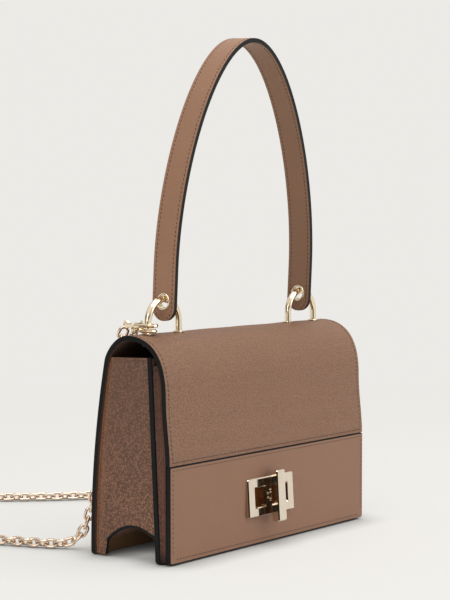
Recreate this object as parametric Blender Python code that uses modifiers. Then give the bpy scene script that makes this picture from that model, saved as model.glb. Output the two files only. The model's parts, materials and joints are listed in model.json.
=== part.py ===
"""Leather crossbody bag: a boxy flap bag with a strap handle on two wire arches,
a turn lock on the flap, a slim front pocket and a chain strap on two bolt snaps.

Metres, +Z up, +X to the right of the front, -Y to the front.
The origin is on the floor, at the middle of the bag without its chain.
"""
import math

import bmesh
import bpy
from mathutils import Matrix, Vector

# Leather body
bag_width = 0.235
base_depth = 0.0724
crest_height = 0.1555
hinge_height = 0.137
back_lean = 0.0130
back_bow = 0.0036
back_steps = 8
leather = 0.0020
lining = 0.0012
clearance = 0.0003
floor_lift = 0.0012
cut_overrun = 0.004
least_miter_share = 0.5
weld_share = 0.01

# Flap outline, seen from the side
crest_setback = 0.0020
shoulder_height = 0.114
shoulder_lean = 0.0037
seam_height = 0.0680
seam_lean = 0.0003
flap_back_handle_shares = (0.40, 0.47)
flap_front_handle_shares = (0.58, 0.73)
flap_lower_handle_shares = (0.35, 0.35)
flap_corner_radius = 0.002
flap_steps = 10

# Main compartment
divider_thickness = 0.0042
divider_base_setback = 0.0093
divider_lean = 0.0072
divider_drop = 0.0141
gusset_thickness = 0.0022
gusset_inset = 0.0008
gusset_front_drop = 0.0006
gusset_back_rise = 0.0028
gusset_back_setback = 0.0012
base_thickness = 0.0024
arch_front_height = 0.0165
arch_peak_height = 0.0232
arch_back_height = 0.0118
arch_steps = 12
flange_width = 0.0095
flange_top_width = 0.0083

# Front pocket
pocket_wall = 0.0015
pocket_clearance = 0.0005
pocket_rise = 0.0130
pocket_gusset_top_width = 0.0042
pocket_base_thickness = 0.0022

# Turn lock
lock_offset = 0.0055
lock_height = 0.0350
lock_tilt = math.radians(3.5)
plate_width = 0.0550
plate_height = 0.0278
plate_thickness = 0.0022
plate_rim = 0.0082
plate_rail = 0.0069
bridge_width = 0.0124
plate_bevel = 0.0005
bar_width = 0.0100
bar_height = 0.0370
bar_depth = 0.0066
bar_standoff = 0.0030
bar_bevel = 0.0007
collar_radius = 0.0044
spindle_radius = 0.0020
spindle_hole_radius = 0.0024
tongue_length = 0.0200
tongue_width = 0.0040
tongue_thickness = 0.0012
tongue_depth = 0.0090
tongue_screw_radius = 0.0024
tongue_screw_head = 0.0010
blade_round_share = 0.4
keeper_width = 0.0140
keeper_height = 0.0350
keeper_slot_width = 0.0062
keeper_slot_height = 0.0250
keeper_rise = 0.0014
backplate_width = 0.0520
backplate_height = 0.0220
backplate_hole_radius = 0.0030
rivet_spacing_x = 0.0466
rivet_spacing_z = 0.0160
rivet_radius = 0.0009
rivet_head_radius = 0.0015
rivet_head = 0.0007

# Handle arches
arch_end_margin = 0.0347
arch_radius = 0.0167
arch_forward = 0.0011
arch_rise = 0.0070
arch_wire_radius = 0.0025
arch_foot_radius = 0.0040
arch_foot_height = 0.0005
arch_hole_radius = 0.0030
arch_bend_steps = 14
anchor_drop = 0.0012
anchor_margin = 0.0045
anchor_thickness = 0.0012
anchor_round_share = 0.8
nut_radius = 0.0042
nut_height = 0.0022

# Handle strap
strap_width = 0.0200
strap_thickness = 0.0032
strap_inset = 0.0018
strap_tail = 0.0137
strap_top_height = 0.3670
strap_straight_height = 0.2000
strap_rise_handle_share = 0.4583
strap_top_handle_share = 0.4988
strap_lean = math.radians(2.7)
strap_steps = 28
strap_end_steps = 5
eyelet_radius = 0.0062
eyelet_bore_radius = 0.0045
eyelet_barrel_radius = 0.0052
eyelet_flange = 0.0009
eyelet_flange_round = 0.0004

# Bolt snaps
snap_ring_radius = 0.0044
snap_wire_radius = 0.0013
snap_front_reach = 0.0025
snap_block_start = 0.0085
snap_block_length = 0.0070
snap_block_width = 0.0118
snap_block_thickness = 0.0034
snap_block_bevel = 0.0008
snap_low_height = 0.0023
snap_stack_step = 0.0037
snap_fan = math.radians(-24)
bolt_radius = 0.0010
bolt_bore_radius = 0.0013
bolt_nose_gap_y = 0.0013
bolt_length = 0.0116
bolt_stud_radius = 0.0007
bolt_stud_height = 0.0030
swivel_neck_radius = 0.0011
swivel_neck_length = 0.0016
swivel_ring_radius = 0.0022
swivel_wire_radius = 0.0009
swivel_ring_steps = 14
swivel_wire_sides = 6
swivel_pin_radius = 0.0009
swivel_pin_depth = 0.0020
swivel_hole_radius = 0.0012

# Chain strap: its route lies in the frame of the leather body
chain_width = 0.0080
chain_point_spacing = 0.0130
lying_slack = 0.0005
chain_route = (
    (-0.0995, 0.0200, 0.1584), (-0.0996, 0.0240, 0.1514), (-0.0998, 0.0268, 0.1446),
    (-0.1000, 0.0285, 0.1375), (-0.1002, 0.0299, 0.1290), (-0.1004, 0.0317, 0.1180),
    (-0.1008, 0.0342, 0.1030), (-0.1013, 0.0372, 0.0800), (-0.1022, 0.0392, 0.0620),
    (-0.1036, 0.0417, 0.0505), (-0.1048, 0.0444, 0.0405), (-0.1053, 0.0474, 0.0300),
    (-0.1060, 0.0503, 0.0205), (-0.1073, 0.0531, 0.0136), (-0.1092, 0.0561, 0.0089),
    (-0.1116, 0.0597, 0.0061), (-0.1147, 0.0643, 0.0046), (-0.1180, 0.0702, 0.0041),
    (-0.1213, 0.0774, 0.0041), (-0.1245, 0.0863, 0.0041), (-0.1282, 0.0980, 0.0041),
    (-0.1326, 0.1115, 0.0041), (-0.1380, 0.1290, 0.0041), (-0.1430, 0.1510, 0.0041),
    (-0.1465, 0.1800, 0.0041), (-0.1460, 0.2140, 0.0041), (-0.1350, 0.2490, 0.0041),
    (-0.1120, 0.2760, 0.0041), (-0.0820, 0.2900, 0.0041), (-0.0520, 0.2870, 0.0041),
    (-0.0300, 0.2735, 0.0041), (-0.0145, 0.2585, 0.0041), (-0.0015, 0.2446, 0.0041),
    (0.0115, 0.2296, 0.0041), (0.0245, 0.2160, 0.0041), (0.0385, 0.2034, 0.0041),
    (0.0510, 0.1920, 0.0041), (0.0635, 0.1800, 0.0041), (0.0730, 0.1650, 0.0041),
    (0.0750, 0.1485, 0.0041), (0.0680, 0.1330, 0.0041), (0.0530, 0.1200, 0.0041),
    (0.0330, 0.1100, 0.0041), (0.0090, 0.1015, 0.0041), (-0.0150, 0.0930, 0.0041),
    (-0.0370, 0.0835, 0.0041), (-0.0540, 0.0735, 0.0041), (-0.0665, 0.0645, 0.0048),
    (-0.0750, 0.0578, 0.0080), (-0.0802, 0.0524, 0.0140), (-0.0830, 0.0474, 0.0240),
    (-0.0840, 0.0427, 0.0400), (-0.0849, 0.0396, 0.0580), (-0.0858, 0.0377, 0.0780),
    (-0.0869, 0.0343, 0.1030), (-0.0878, 0.0317, 0.1180), (-0.0885, 0.0300, 0.1280),
    (-0.0892, 0.0285, 0.1355), (-0.0897, 0.0273, 0.1416), (-0.0903, 0.0241, 0.1483),
    (-0.0912, 0.0185, 0.1549),
)

# Colours: red, green, blue; then roughness and metallic
LEATHER_LOOK = ((0.300, 0.175, 0.122, 1.0), 0.55, 0.0)
SMOOTH_LOOK = ((0.285, 0.165, 0.115, 1.0), 0.45, 0.0)
GUSSET_LOOK = ((0.240, 0.135, 0.092, 1.0), 0.60, 0.0)
LINING_LOOK = ((0.120, 0.070, 0.050, 1.0), 0.80, 0.0)
GOLD_LOOK = ((0.830, 0.690, 0.430, 1.0), 0.18, 1.0)

# Worked out from the sizes above
half_width = bag_width / 2
half_depth = base_depth / 2
divider_height = crest_height - divider_drop
gusset_front_height = divider_height - gusset_front_drop
gusset_back_height = hinge_height + gusset_back_rise
pocket_height = shoulder_height + pocket_rise
arch_centre_x = half_width - arch_end_margin
strap_centre_x = arch_centre_x - strap_inset
flap_thickness = leather + clearance + lining
lock_front_y = -half_depth - clearance - plate_thickness
lock_reach = (clearance + plate_thickness + (bar_standoff + bar_depth) * math.cos(lock_tilt)
              + bar_height / 2 * math.sin(lock_tilt))
body_shift = lock_reach / 2
arch_top_height = crest_height + arch_rise + arch_radius
eyelet_drop = eyelet_bore_radius - arch_wire_radius - clearance
strap_end_height = arch_top_height - eyelet_drop - strap_tail


def bezier(start, start_handle, end_handle, end, steps):
    """Points of a cubic curve, without its first point."""
    points = []
    for step in range(1, steps + 1):
        t = step / steps
        u = 1 - t
        weights = (u ** 3, 3 * u * u * t, 3 * u * t * t, t ** 3)
        points.append(sum((Vector(p) * w for p, w in
                           zip((start, start_handle, end_handle, end), weights)), Vector((0, 0))))
    return points


def offset_line(points, distance):
    """The same line moved to its right-hand side, corner by corner."""
    moved = []
    last = len(points) - 1
    for index, point in enumerate(points):
        before = points[max(index - 1, 0)]
        after = points[min(index + 1, last)]
        first = (point - before).normalized() if index else (after - point).normalized()
        second = (after - point).normalized() if index < last else first
        normal = Vector((first.y + second.y, -first.x - second.x)).normalized()
        stretch = max(normal.dot(Vector((first.y, -first.x))), least_miter_share)
        moved.append(point + normal * (distance / stretch))
    return moved


def at_height(points, height):
    """Where a line that runs up or down passes a height."""
    for a, b in zip(points, points[1:]):
        if min(a.y, b.y) <= height <= max(a.y, b.y) and a.y != b.y:
            return a.lerp(b, (height - a.y) / (b.y - a.y))
    return points[-1].copy()


def stretch_between(points, low, high):
    """The part of a line that runs up or down between two heights, ends cut level."""
    inside = [p for p in points if low < p.y < high]
    ends = [at_height(points, low), at_height(points, high)]
    line = ends[:1] + sorted(inside, key=lambda p: p.y) + ends[1:]
    return [p for i, p in enumerate(line) if i == 0 or (p - line[i - 1]).length > clearance]


def back_outer(height):
    share = height / hinge_height
    return half_depth - back_lean * share + 4 * back_bow * share * (1 - share)


def divider_outer(height):
    return -half_depth + divider_base_setback + divider_lean * height / divider_height


def flap_outline():
    """The flap's outer line from the hinge over the crest down to the seam."""
    hinge = Vector((back_outer(hinge_height), hinge_height))
    crest = Vector((crest_setback, crest_height))
    shoulder = Vector((-half_depth + shoulder_lean, shoulder_height))
    seam = Vector((-half_depth + seam_lean, seam_height))
    back_slope = (back_lean + 4 * back_bow) / hinge_height
    back_rise = (crest_height - hinge_height) * flap_back_handle_shares[0]
    back_reach = (hinge.x - crest.x) * flap_back_handle_shares[1]
    front_reach = (crest.x - shoulder.x) * flap_front_handle_shares[0]
    front_rise = (crest_height - shoulder_height) * flap_front_handle_shares[1]
    lower_drop = (shoulder_height - seam_height) * flap_lower_handle_shares[0]
    lower_rise = (shoulder_height - seam_height) * flap_lower_handle_shares[1]
    line = [hinge]
    line += bezier(hinge, hinge + Vector((-back_slope * back_rise, back_rise)),
                   crest + Vector((back_reach, 0)), crest, flap_steps)
    line += bezier(crest, crest - Vector((front_reach, 0)),
                   shoulder + Vector((0, front_rise)), shoulder, flap_steps)
    line += bezier(shoulder, shoulder - Vector((0, lower_drop)),
                   seam + Vector((seam_lean, lower_rise)), seam, flap_steps // 2)
    return line


def material(name, look):
    colour, roughness, metallic = look
    made = bpy.data.materials.new(name)
    made.use_nodes = True
    shader = made.node_tree.nodes["Principled BSDF"]
    shader.inputs["Base Color"].default_value = colour
    shader.inputs["Roughness"].default_value = roughness
    shader.inputs["Metallic"].default_value = metallic
    made.diffuse_color = colour
    return made


def add_empty(name, location, rotation=(0, 0, 0), parent=None):
    empty = bpy.data.objects.new(name, None)
    empty.location = location
    empty.rotation_euler = rotation
    empty.empty_display_size = strap_width
    empty.parent = parent
    parts.objects.link(empty)
    return empty


def add_mesh(name, mesh_data, parent, look=None, place=(0, 0, 0), turn=(0, 0, 0)):
    """A named object; without a look it is a cutter."""
    obj = bpy.data.objects.new(name, mesh_data)
    obj.location = place
    obj.rotation_euler = turn
    obj.parent = parent
    if look is None:
        cutters.objects.link(obj)
        obj.hide_render = True
        obj.display_type = 'WIRE'
    else:
        parts.objects.link(obj)
        mesh_data.materials.append(material(name, look))
    return obj


def finish_mesh(bm, name, smooth=False):
    bmesh.ops.recalc_face_normals(bm, faces=bm.faces)
    mesh = bpy.data.meshes.new(name)
    bm.to_mesh(mesh)
    bm.free()
    if smooth:
        mesh.shade_smooth()
        mesh.set_sharp_from_angle(angle=math.radians(35))
    return mesh


def extruded(name, outline, axis, low, high, smooth=False):
    """An outline drawn in the plane across an axis, drawn out along that axis."""
    bm = bmesh.new()
    verts = []
    for first, second in outline:
        point = {'X': (low, first, second), 'Y': (first, low, second),
                 'Z': (first, second, low)}[axis]
        verts.append(bm.verts.new(point))
    face = bm.faces.new(verts)
    drawn = bmesh.ops.extrude_face_region(bm, geom=[face])
    moved = [item for item in drawn["geom"] if isinstance(item, bmesh.types.BMVert)]
    shift = {'X': (high - low, 0, 0), 'Y': (0, high - low, 0), 'Z': (0, 0, high - low)}[axis]
    bmesh.ops.translate(bm, verts=moved, vec=shift)
    return finish_mesh(bm, name, smooth)


def box(name, centre, size):
    bm = bmesh.new()
    bmesh.ops.create_cube(bm, size=1.0)
    bmesh.ops.scale(bm, vec=size, verts=bm.verts)
    bmesh.ops.translate(bm, vec=centre, verts=bm.verts)
    return finish_mesh(bm, name)


def rod(name, start, end, radius, sides=20, end_radius=None):
    """A cylinder, or a cone with another end radius, from one point to another."""
    start, end = Vector(start), Vector(end)
    bm = bmesh.new()
    turn = (end - start).to_track_quat('Z', 'Y').to_matrix().to_4x4()
    bmesh.ops.create_cone(bm, cap_ends=True, segments=sides, radius1=radius,
                          radius2=radius if end_radius is None else end_radius,
                          depth=(end - start).length,
                          matrix=Matrix.Translation((start + end) / 2) @ turn)
    return finish_mesh(bm, name, smooth=True)


def rounded_outline(width, height, radius, steps=3):
    """Corner points of a rectangle about its centre with round corners."""
    points = []
    corners = ((1, 1, 0), (-1, 1, 1), (-1, -1, 2), (1, -1, 3))
    for side_x, side_y, quarter in corners:
        for step in range(steps + 1):
            angle = math.pi / 2 * (quarter + step / steps)
            points.append((side_x * (width / 2 - radius) + radius * math.cos(angle),
                           side_y * (height / 2 - radius) + radius * math.sin(angle)))
    return points


def cut(target, cutter, operation='DIFFERENCE'):
    modifier = target.modifiers.new(cutter.name, 'BOOLEAN')
    modifier.operation = operation
    modifier.solver = 'EXACT'
    modifier.object = cutter


def bevel(target, width, segments=2, angle=40):
    modifier = target.modifiers.new("rounded_edges", 'BEVEL')
    modifier.width = width
    modifier.segments = segments
    modifier.limit_method = 'ANGLE'
    modifier.angle_limit = math.radians(angle)


def tube_mesh(name, points, radius, resolution=2):
    """A round tube along points, as a closed mesh."""
    curve = bpy.data.curves.new(name, 'CURVE')
    curve.dimensions = '3D'
    curve.bevel_depth = radius
    curve.bevel_resolution = resolution
    curve.use_fill_caps = True
    spline = curve.splines.new('POLY')
    spline.points.add(len(points) - 1)
    for target, point in zip(spline.points, points):
        target.co = (*point, 1)
    holder = bpy.data.objects.new(name, curve)
    bpy.context.scene.collection.objects.link(holder)
    view = bpy.context.evaluated_depsgraph_get()
    mesh = bpy.data.meshes.new_from_object(holder.evaluated_get(view))
    bpy.data.objects.remove(holder)
    bm = bmesh.new()
    bm.from_mesh(mesh)
    bmesh.ops.remove_doubles(bm, verts=bm.verts, dist=radius * weld_share)
    mesh_out = finish_mesh(bm, name, smooth=True)
    bpy.data.meshes.remove(mesh)
    return mesh_out



def smooth_route(points, spacing):
    """Points at even steps along a smooth curve through the route's own points."""
    line = [Vector(p) for p in points]
    padded = [line[0] * 2 - line[1]] + line + [line[-1] * 2 - line[-2]]
    dense = [line[0]]
    fine_steps = 24
    for p0, p1, p2, p3 in zip(padded, padded[1:], padded[2:], padded[3:]):
        for step in range(1, fine_steps + 1):
            t = step / fine_steps
            dense.append(((p1 * 2) + (p2 - p0) * t + (p0 * 2 - p1 * 5 + p2 * 4 - p3) * t * t
                          + (p1 * 3 - p0 - p2 * 3 + p3) * t ** 3) / 2)
    lengths = [0.0]
    for a, b in zip(dense, dense[1:]):
        lengths.append(lengths[-1] + (b - a).length)
    count = max(round(lengths[-1] / spacing), 2)
    even, index = [], 0
    for step in range(count + 1):
        target = lengths[-1] * step / count
        while index < len(lengths) - 2 and lengths[index + 1] < target:
            index += 1
        share = (target - lengths[index]) / max(lengths[index + 1] - lengths[index], clearance ** 2)
        even.append(dense[index].lerp(dense[index + 1], share))
    return even, lengths[-1]


def slab(name, outer, thickness, parent, look, inset=0.0, low=None, high=None):
    """Leather of one thickness behind an outer line, across the bag, with level ends."""
    inner = offset_line(outer, -thickness)
    if low is None:
        inner[0].y = outer[0].y
        inner[-1].y = outer[-1].y
    else:
        outer = stretch_between(outer, low, high)
        inner = stretch_between(inner, low, high)
    outline = outer + inner[::-1]
    mesh = extruded(name, outline, 'X', -half_width + inset, half_width - inset, smooth=True)
    return add_mesh(name, mesh, parent, look)


def make_back(parent):
    """Back panel and its lining, from the floor up to the flap's hinge."""
    heights = [hinge_height * step / back_steps for step in range(back_steps + 1)]
    heights = [-cut_overrun] + heights + [hinge_height + cut_overrun]
    line = [Vector((back_outer(height), height)) for height in heights]
    top = hinge_height - clearance
    outer_skin = slab("back_panel", line, leather, parent, LEATHER_LOOK, low=0, high=top)
    lining_line = [p - Vector((leather + clearance, 0)) for p in line]
    slab("back_lining", lining_line, lining, parent, LINING_LOOK,
         low=floor_lift, high=top)
    return outer_skin


def make_flap(flap, outline):
    """Outer leather, smooth lower panel and lining, with the holes for the hardware."""
    upper = slab("flap_shell", outline, leather, flap, LEATHER_LOOK)
    seam = outline[-1]
    panel_top = seam.y - clearance
    panel_height = panel_top - floor_lift
    panel_outline = [(x, z) for x, z in
                     rounded_outline(bag_width, panel_height * 2, flap_corner_radius) if z <= 0]
    panel_outline = [(half_width, 0), (-half_width, 0)] + \
        [p for p in panel_outline if p[1] < 0]
    front = -half_depth
    mesh = extruded("flap_front_panel", [(x, z + panel_top) for x, z in panel_outline], 'Y',
                    front, front + leather)
    lower = add_mesh("flap_front_panel", mesh, flap, SMOOTH_LOOK)
    inner_line = offset_line(outline + [Vector((front, floor_lift))], -leather - clearance)
    inner_line[0] = Vector((inner_line[0].x, hinge_height))
    inner_line[-1].y = floor_lift
    inside = slab("flap_lining", inner_line, lining, flap, LINING_LOOK)
    return upper, lower, inside


def arch_legs():
    return [side * arch_centre_x + leg * arch_radius for side in (-1, 1) for leg in (-1, 1)]


def make_arches(flap, upper, inside):
    """Two wire arches through the flap's crest, each on a plate with two nuts under it."""
    under_lining = crest_height - flap_thickness - anchor_drop
    plate_low = under_lining - anchor_thickness
    leg_low = plate_low - clearance - nut_height
    for index, leg_x in enumerate(arch_legs()):
        hole = add_mesh("arch_hole_cutter_%d" % (index + 1),
                        rod("arch_hole", (leg_x, 0, leg_low - cut_overrun),
                            (leg_x, 0, crest_height + cut_overrun), arch_hole_radius), flap)
        cut(upper, hole)
        cut(inside, hole)
    for side, label in ((-1, "left"), (1, "right")):
        centre = side * arch_centre_x
        points = [Vector((centre - arch_radius, 0, leg_low))]
        for step in range(arch_bend_steps + 1):
            angle = math.pi * (1 - step / arch_bend_steps)
            points.append(Vector((centre + arch_radius * math.cos(angle), 0,
                                  crest_height + arch_rise + arch_radius * math.sin(angle))))
        points.append(Vector((centre + arch_radius, 0, leg_low)))
        arch = add_mesh("handle_arch_" + label,
                        tube_mesh("arch_wire", points, arch_wire_radius, resolution=3),
                        flap, GOLD_LOOK)
        plate = add_mesh("arch_anchor_" + label,
                         extruded("anchor", rounded_outline(2 * (arch_radius + anchor_margin),
                                                            2 * anchor_margin,
                                                            anchor_margin * anchor_round_share),
                                  'Z', plate_low, under_lining), flap, GOLD_LOOK,
                         place=(centre, 0, 0))
        for leg, leg_label in ((-1, "outer"), (1, "inner")):
            leg_x = centre + side * leg * -arch_radius
            foot = add_mesh("arch_foot_cutter_%s_%s" % (label, leg_label),
                            rod("arch_foot", (leg_x, 0, crest_height + clearance),
                                (leg_x, 0, crest_height + clearance + arch_foot_height),
                                arch_foot_radius), flap)
            cut(arch, foot, 'UNION')
            hole = add_mesh("anchor_hole_cutter_%s_%s" % (label, leg_label),
                            rod("anchor_hole", (leg_x, 0, leg_low - cut_overrun),
                                (leg_x, 0, under_lining + cut_overrun), arch_hole_radius), flap)
            cut(plate, hole)
            nut = add_mesh("arch_nut_%s_%s" % (label, leg_label),
                           rod("nut", (leg_x, 0, leg_low),
                               (leg_x, 0, plate_low - clearance), nut_radius, sides=6),
                           flap, GOLD_LOOK)
            cut(nut, hole)


def make_lock(flap, lower, inside, pocket_wall_obj, parent):
    """Turn lock: plate, turn bar with its spindle, tongue, back plate, rivets and keeper."""
    lock = add_empty("lock_axis", (-lock_offset, lock_front_y, lock_height),
                     (-lock_tilt, 0, 0), flap)
    deep = plate_thickness + plate_height * math.sin(lock_tilt)
    plate = add_mesh("lock_plate", box("plate", (0, deep / 2, 0),
                                       (plate_width, deep, plate_height)), lock, GOLD_LOOK)
    window_width = (plate_width - 2 * plate_rim - bridge_width) / 2
    for side, label in ((-1, "left"), (1, "right")):
        window = add_mesh("plate_window_cutter_" + label,
                          box("window", (side * (bridge_width + window_width) / 2, deep / 2, 0),
                              (window_width, deep + cut_overrun * 2,
                               plate_height - 2 * plate_rail)), lock)
        cut(plate, window)
    spindle_hole = add_mesh("spindle_hole_cutter",
                            rod("spindle_hole", (0, -cut_overrun, 0),
                                (0, plate_thickness + flap_thickness + cut_overrun, 0),
                                spindle_hole_radius), lock)
    leather_side = add_mesh("leather_side_cutter",
                            box("leather_side", (0, plate_width / 2 - half_depth - clearance, lock_height),
                                (bag_width, plate_width, plate_width)), flap)
    cut(plate, leather_side)
    bevel(plate, plate_bevel, segments=2)
    cut(plate, spindle_hole)
    cut(lower, spindle_hole)

    bar = add_mesh("turn_bar", box("bar", (0, -bar_standoff - bar_depth / 2, 0),
                                   (bar_width, bar_depth, bar_height)), lock, GOLD_LOOK)
    bevel(bar, bar_bevel, segments=3)
    collar = add_mesh("bar_collar_cutter",
                      rod("collar", (0, -clearance, 0), (0, -bar_standoff - bar_bevel, 0),
                          collar_radius, sides=28), lock)
    cut(bar, collar, 'UNION')
    spindle = add_mesh("bar_spindle_cutter",
                       rod("spindle", (0, -bar_standoff, 0), (0, tongue_depth - clearance, 0),
                           spindle_radius), lock)
    cut(bar, spindle, 'UNION')

    add_mesh("lock_tongue",
             extruded("tongue", rounded_outline(tongue_width, tongue_length,
                                                tongue_width * blade_round_share),
                      'Y', tongue_depth, tongue_depth + tongue_thickness), lock, GOLD_LOOK)
    screw_low = tongue_depth + tongue_thickness + clearance
    add_mesh("tongue_screw", rod("screw", (0, screw_low, 0), (0, screw_low + tongue_screw_head, 0),
                                 tongue_screw_radius), lock, GOLD_LOOK)

    lining_front = -half_depth + leather + clearance
    lining_back = lining_front + lining
    recess = add_mesh("backplate_recess_cutter",
                      box("recess", (-lock_offset, lining_front, lock_height),
                          (backplate_width + 2 * clearance, 2 * (lining + clearance),
                           backplate_height + 2 * clearance)), flap)
    cut(inside, recess)
    backplate = add_mesh("lock_backplate",
                         extruded("backplate", rounded_outline(backplate_width, backplate_height,
                                                               rivet_head_radius),
                                  'Y', lining_front, lining_back), flap, GOLD_LOOK,
                         place=(-lock_offset, 0, lock_height))
    back_hole = add_mesh("backplate_hole_cutter",
                         rod("backplate_hole", (0, -cut_overrun, 0),
                             (0, plate_thickness + flap_thickness + cut_overrun, 0),
                             backplate_hole_radius), lock)
    cut(backplate, back_hole)
    number = 0
    for side_x in (-1, 1):
        for side_z in (-1, 1):
            number += 1
            x = -lock_offset + side_x * rivet_spacing_x / 2
            z = lock_height + side_z * rivet_spacing_z / 2
            hole = add_mesh("rivet_hole_cutter_%d" % number,
                            rod("rivet_hole", (x, -half_depth - clearance / 2, z),
                                (x, lining_back + clearance, z),
                                rivet_radius + clearance, sides=12), flap)
            cut(lower, hole)
            cut(backplate, hole)
            sink = add_mesh("rivet_sink_cutter_%d" % number,
                            rod("rivet_sink", (x, lining_back - rivet_head, z),
                                (x, lining_back + clearance, z), rivet_radius,
                                sides=12, end_radius=rivet_head_radius + clearance * 2), flap)
            cut(backplate, sink)
            rivet = add_mesh("lock_rivet_%d" % number,
                             rod("rivet", (x, -half_depth, z),
                                 (x, lining_back - rivet_head / 2, z),
                                 rivet_radius, sides=12), flap, GOLD_LOOK)
            head = add_mesh("rivet_head_cutter_%d" % number,
                            rod("rivet_head", (x, lining_back - rivet_head, z),
                                (x, lining_back, z), rivet_radius, sides=12,
                                end_radius=rivet_head_radius), flap)
            cut(rivet, head, 'UNION')

    keeper_front = pocket_front_y()
    keeper_z = lock_height + keeper_rise
    opening = add_mesh("keeper_opening_cutter",
                       box("keeper_opening", (-lock_offset, keeper_front + pocket_wall / 2, keeper_z),
                           (keeper_width + 2 * clearance, pocket_wall + 2 * clearance,
                            keeper_height + 2 * clearance)), parent)
    cut(pocket_wall_obj, opening)
    keeper = add_mesh("keeper_plate",
                      extruded("keeper", rounded_outline(keeper_width, keeper_height,
                                                         rivet_head_radius),
                               'Y', keeper_front, keeper_front + pocket_wall), parent, GOLD_LOOK,
                      place=(-lock_offset, 0, keeper_z))
    slot = add_mesh("keeper_slot_cutter",
                    extruded("keeper_slot", rounded_outline(keeper_slot_width, keeper_slot_height,
                                                            keeper_slot_width
                                                            * blade_round_share),
                             'Y', keeper_front - pocket_wall, keeper_front + 2 * pocket_wall),
                    parent, place=(-lock_offset, 0, keeper_z))
    cut(keeper, slot)


def pocket_front_y():
    """Front face of the pocket wall where it stands upright behind the lower flap."""
    return -half_depth + flap_thickness + pocket_clearance


def make_divider(parent):
    """The wall between the main compartment and the pocket, with a round top edge."""
    low_front = Vector((divider_outer(0), 0))
    radius = divider_thickness / 2
    top_centre = Vector((divider_outer(divider_height) + radius, divider_height - radius))
    outline = [low_front]
    rounding = 6
    for step in range(rounding + 1):
        angle = math.pi * (1 - step / rounding)
        outline.append(top_centre + Vector((math.cos(angle), math.sin(angle))) * radius)
    outline.append(low_front + Vector((divider_thickness, 0)))
    mesh = extruded("divider", outline, 'X', -half_width, half_width, smooth=True)
    add_mesh("divider_panel", mesh, parent, LEATHER_LOOK)


def underside_arch(low_y, high_y):
    """The bowed line of the bag's underside between two depths."""
    points = []
    for step in range(arch_steps + 1):
        t = step / arch_steps
        ends = arch_front_height + (arch_back_height - arch_front_height) * t
        middle = arch_peak_height - (arch_front_height + arch_back_height) / 2
        points.append(Vector((low_y + (high_y - low_y) * t, ends + 4 * middle * t * (1 - t))))
    return points


def compartment_edges(height):
    """Inner faces of the divider and the back lining at a height."""
    front = divider_outer(height) + divider_thickness + clearance
    back = back_outer(height) - leather - 2 * clearance - lining
    return front, back


def make_compartment(parent):
    """Two side gussets and the bowed base between the divider and the back."""
    front_low, _ = compartment_edges(arch_front_height)
    _, back_low = compartment_edges(arch_back_height)
    arch_end = back_low - flange_top_width
    bow = underside_arch(front_low, arch_end)
    for side, label in ((-1, "left"), (1, "right")):
        front_top = compartment_edges(gusset_front_height)[0]
        back_top = compartment_edges(hinge_height)[1]
        floor_back = compartment_edges(floor_lift)[1]
        back_edge = [Vector((compartment_edges(height)[1], height)) for height in
                     (hinge_height * step / back_steps for step in range(1, back_steps + 1))]
        outline = [Vector((front_top, gusset_front_height))] + bow + [
            Vector((floor_back - flange_width, floor_lift)), Vector((floor_back, floor_lift))]
        outline += back_edge + [Vector((back_top - gusset_back_setback, gusset_back_height))]
        outside = side * (half_width - gusset_inset)
        inside = side * (half_width - gusset_inset - gusset_thickness)
        mesh = extruded("gusset", outline, 'X', min(outside, inside), max(outside, inside))
        add_mesh("gusset_" + label, mesh, parent, GUSSET_LOOK)
    top = [p + Vector((0, clearance)) for p in bow]
    top.append(Vector((back_low, top[-1].y)))
    raised = [p + Vector((0, base_thickness)) for p in top]
    reach = half_width - gusset_inset - gusset_thickness - clearance
    mesh = extruded("base", top + raised[::-1], 'X', -reach, reach, smooth=True)
    add_mesh("base_panel", mesh, parent, GUSSET_LOOK)


def narrowing_height(face):
    """Where the pocket is as narrow as the top of its gussets, on a line that runs up."""
    room = [divider_outer(p.y) - clearance - p.x - pocket_gusset_top_width for p in face]
    for (a, wide), (b, narrow) in zip(zip(face, room), zip(face[1:], room[1:])):
        if wide > 0 >= narrow:
            return a.y + (b.y - a.y) * wide / (wide - narrow)
    return face[-1].y


def make_pocket(parent, outline):
    """Slim front pocket: wall, two narrow gussets and a base strip."""
    front = pocket_front_y()
    whole = outline + [Vector((-half_depth, 0))]
    behind = offset_line(whole, -flap_thickness - pocket_clearance)
    behind = [p for p in behind if p.x < 0]
    face = stretch_between(behind[::-1], floor_lift, pocket_height)
    rear = stretch_between(offset_line(behind, -pocket_wall)[::-1], floor_lift, pocket_height)
    side = half_width - gusset_inset - gusset_thickness - clearance
    mesh = extruded("pocket_wall", face + rear[::-1], 'X', -side, side, smooth=True)
    wall = add_mesh("pocket_front", mesh, parent, SMOOTH_LOOK)

    high = narrowing_height(behind[::-1])
    gusset_face = stretch_between(behind[::-1], floor_lift, high)
    outline_side = gusset_face + [Vector((divider_outer(high) - clearance, high)),
                                  Vector((divider_outer(floor_lift) - clearance, floor_lift))]
    for sign, label in ((-1, "left"), (1, "right")):
        outside = sign * (half_width - gusset_inset)
        inside = sign * (half_width - gusset_inset - gusset_thickness)
        mesh = extruded("pocket_gusset", outline_side, 'X', min(outside, inside),
                        max(outside, inside))
        add_mesh("pocket_gusset_" + label, mesh, parent, GUSSET_LOOK)
    base_front = front + pocket_wall + clearance
    base_top = floor_lift + pocket_base_thickness
    base_line = [(base_front, floor_lift), (divider_outer(floor_lift) - clearance, floor_lift),
                 (divider_outer(base_top) - clearance, base_top), (base_front, base_top)]
    mesh = extruded("pocket_base", base_line, 'X', -side, side)
    add_mesh("pocket_base", mesh, parent, GUSSET_LOOK)
    return wall


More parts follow.
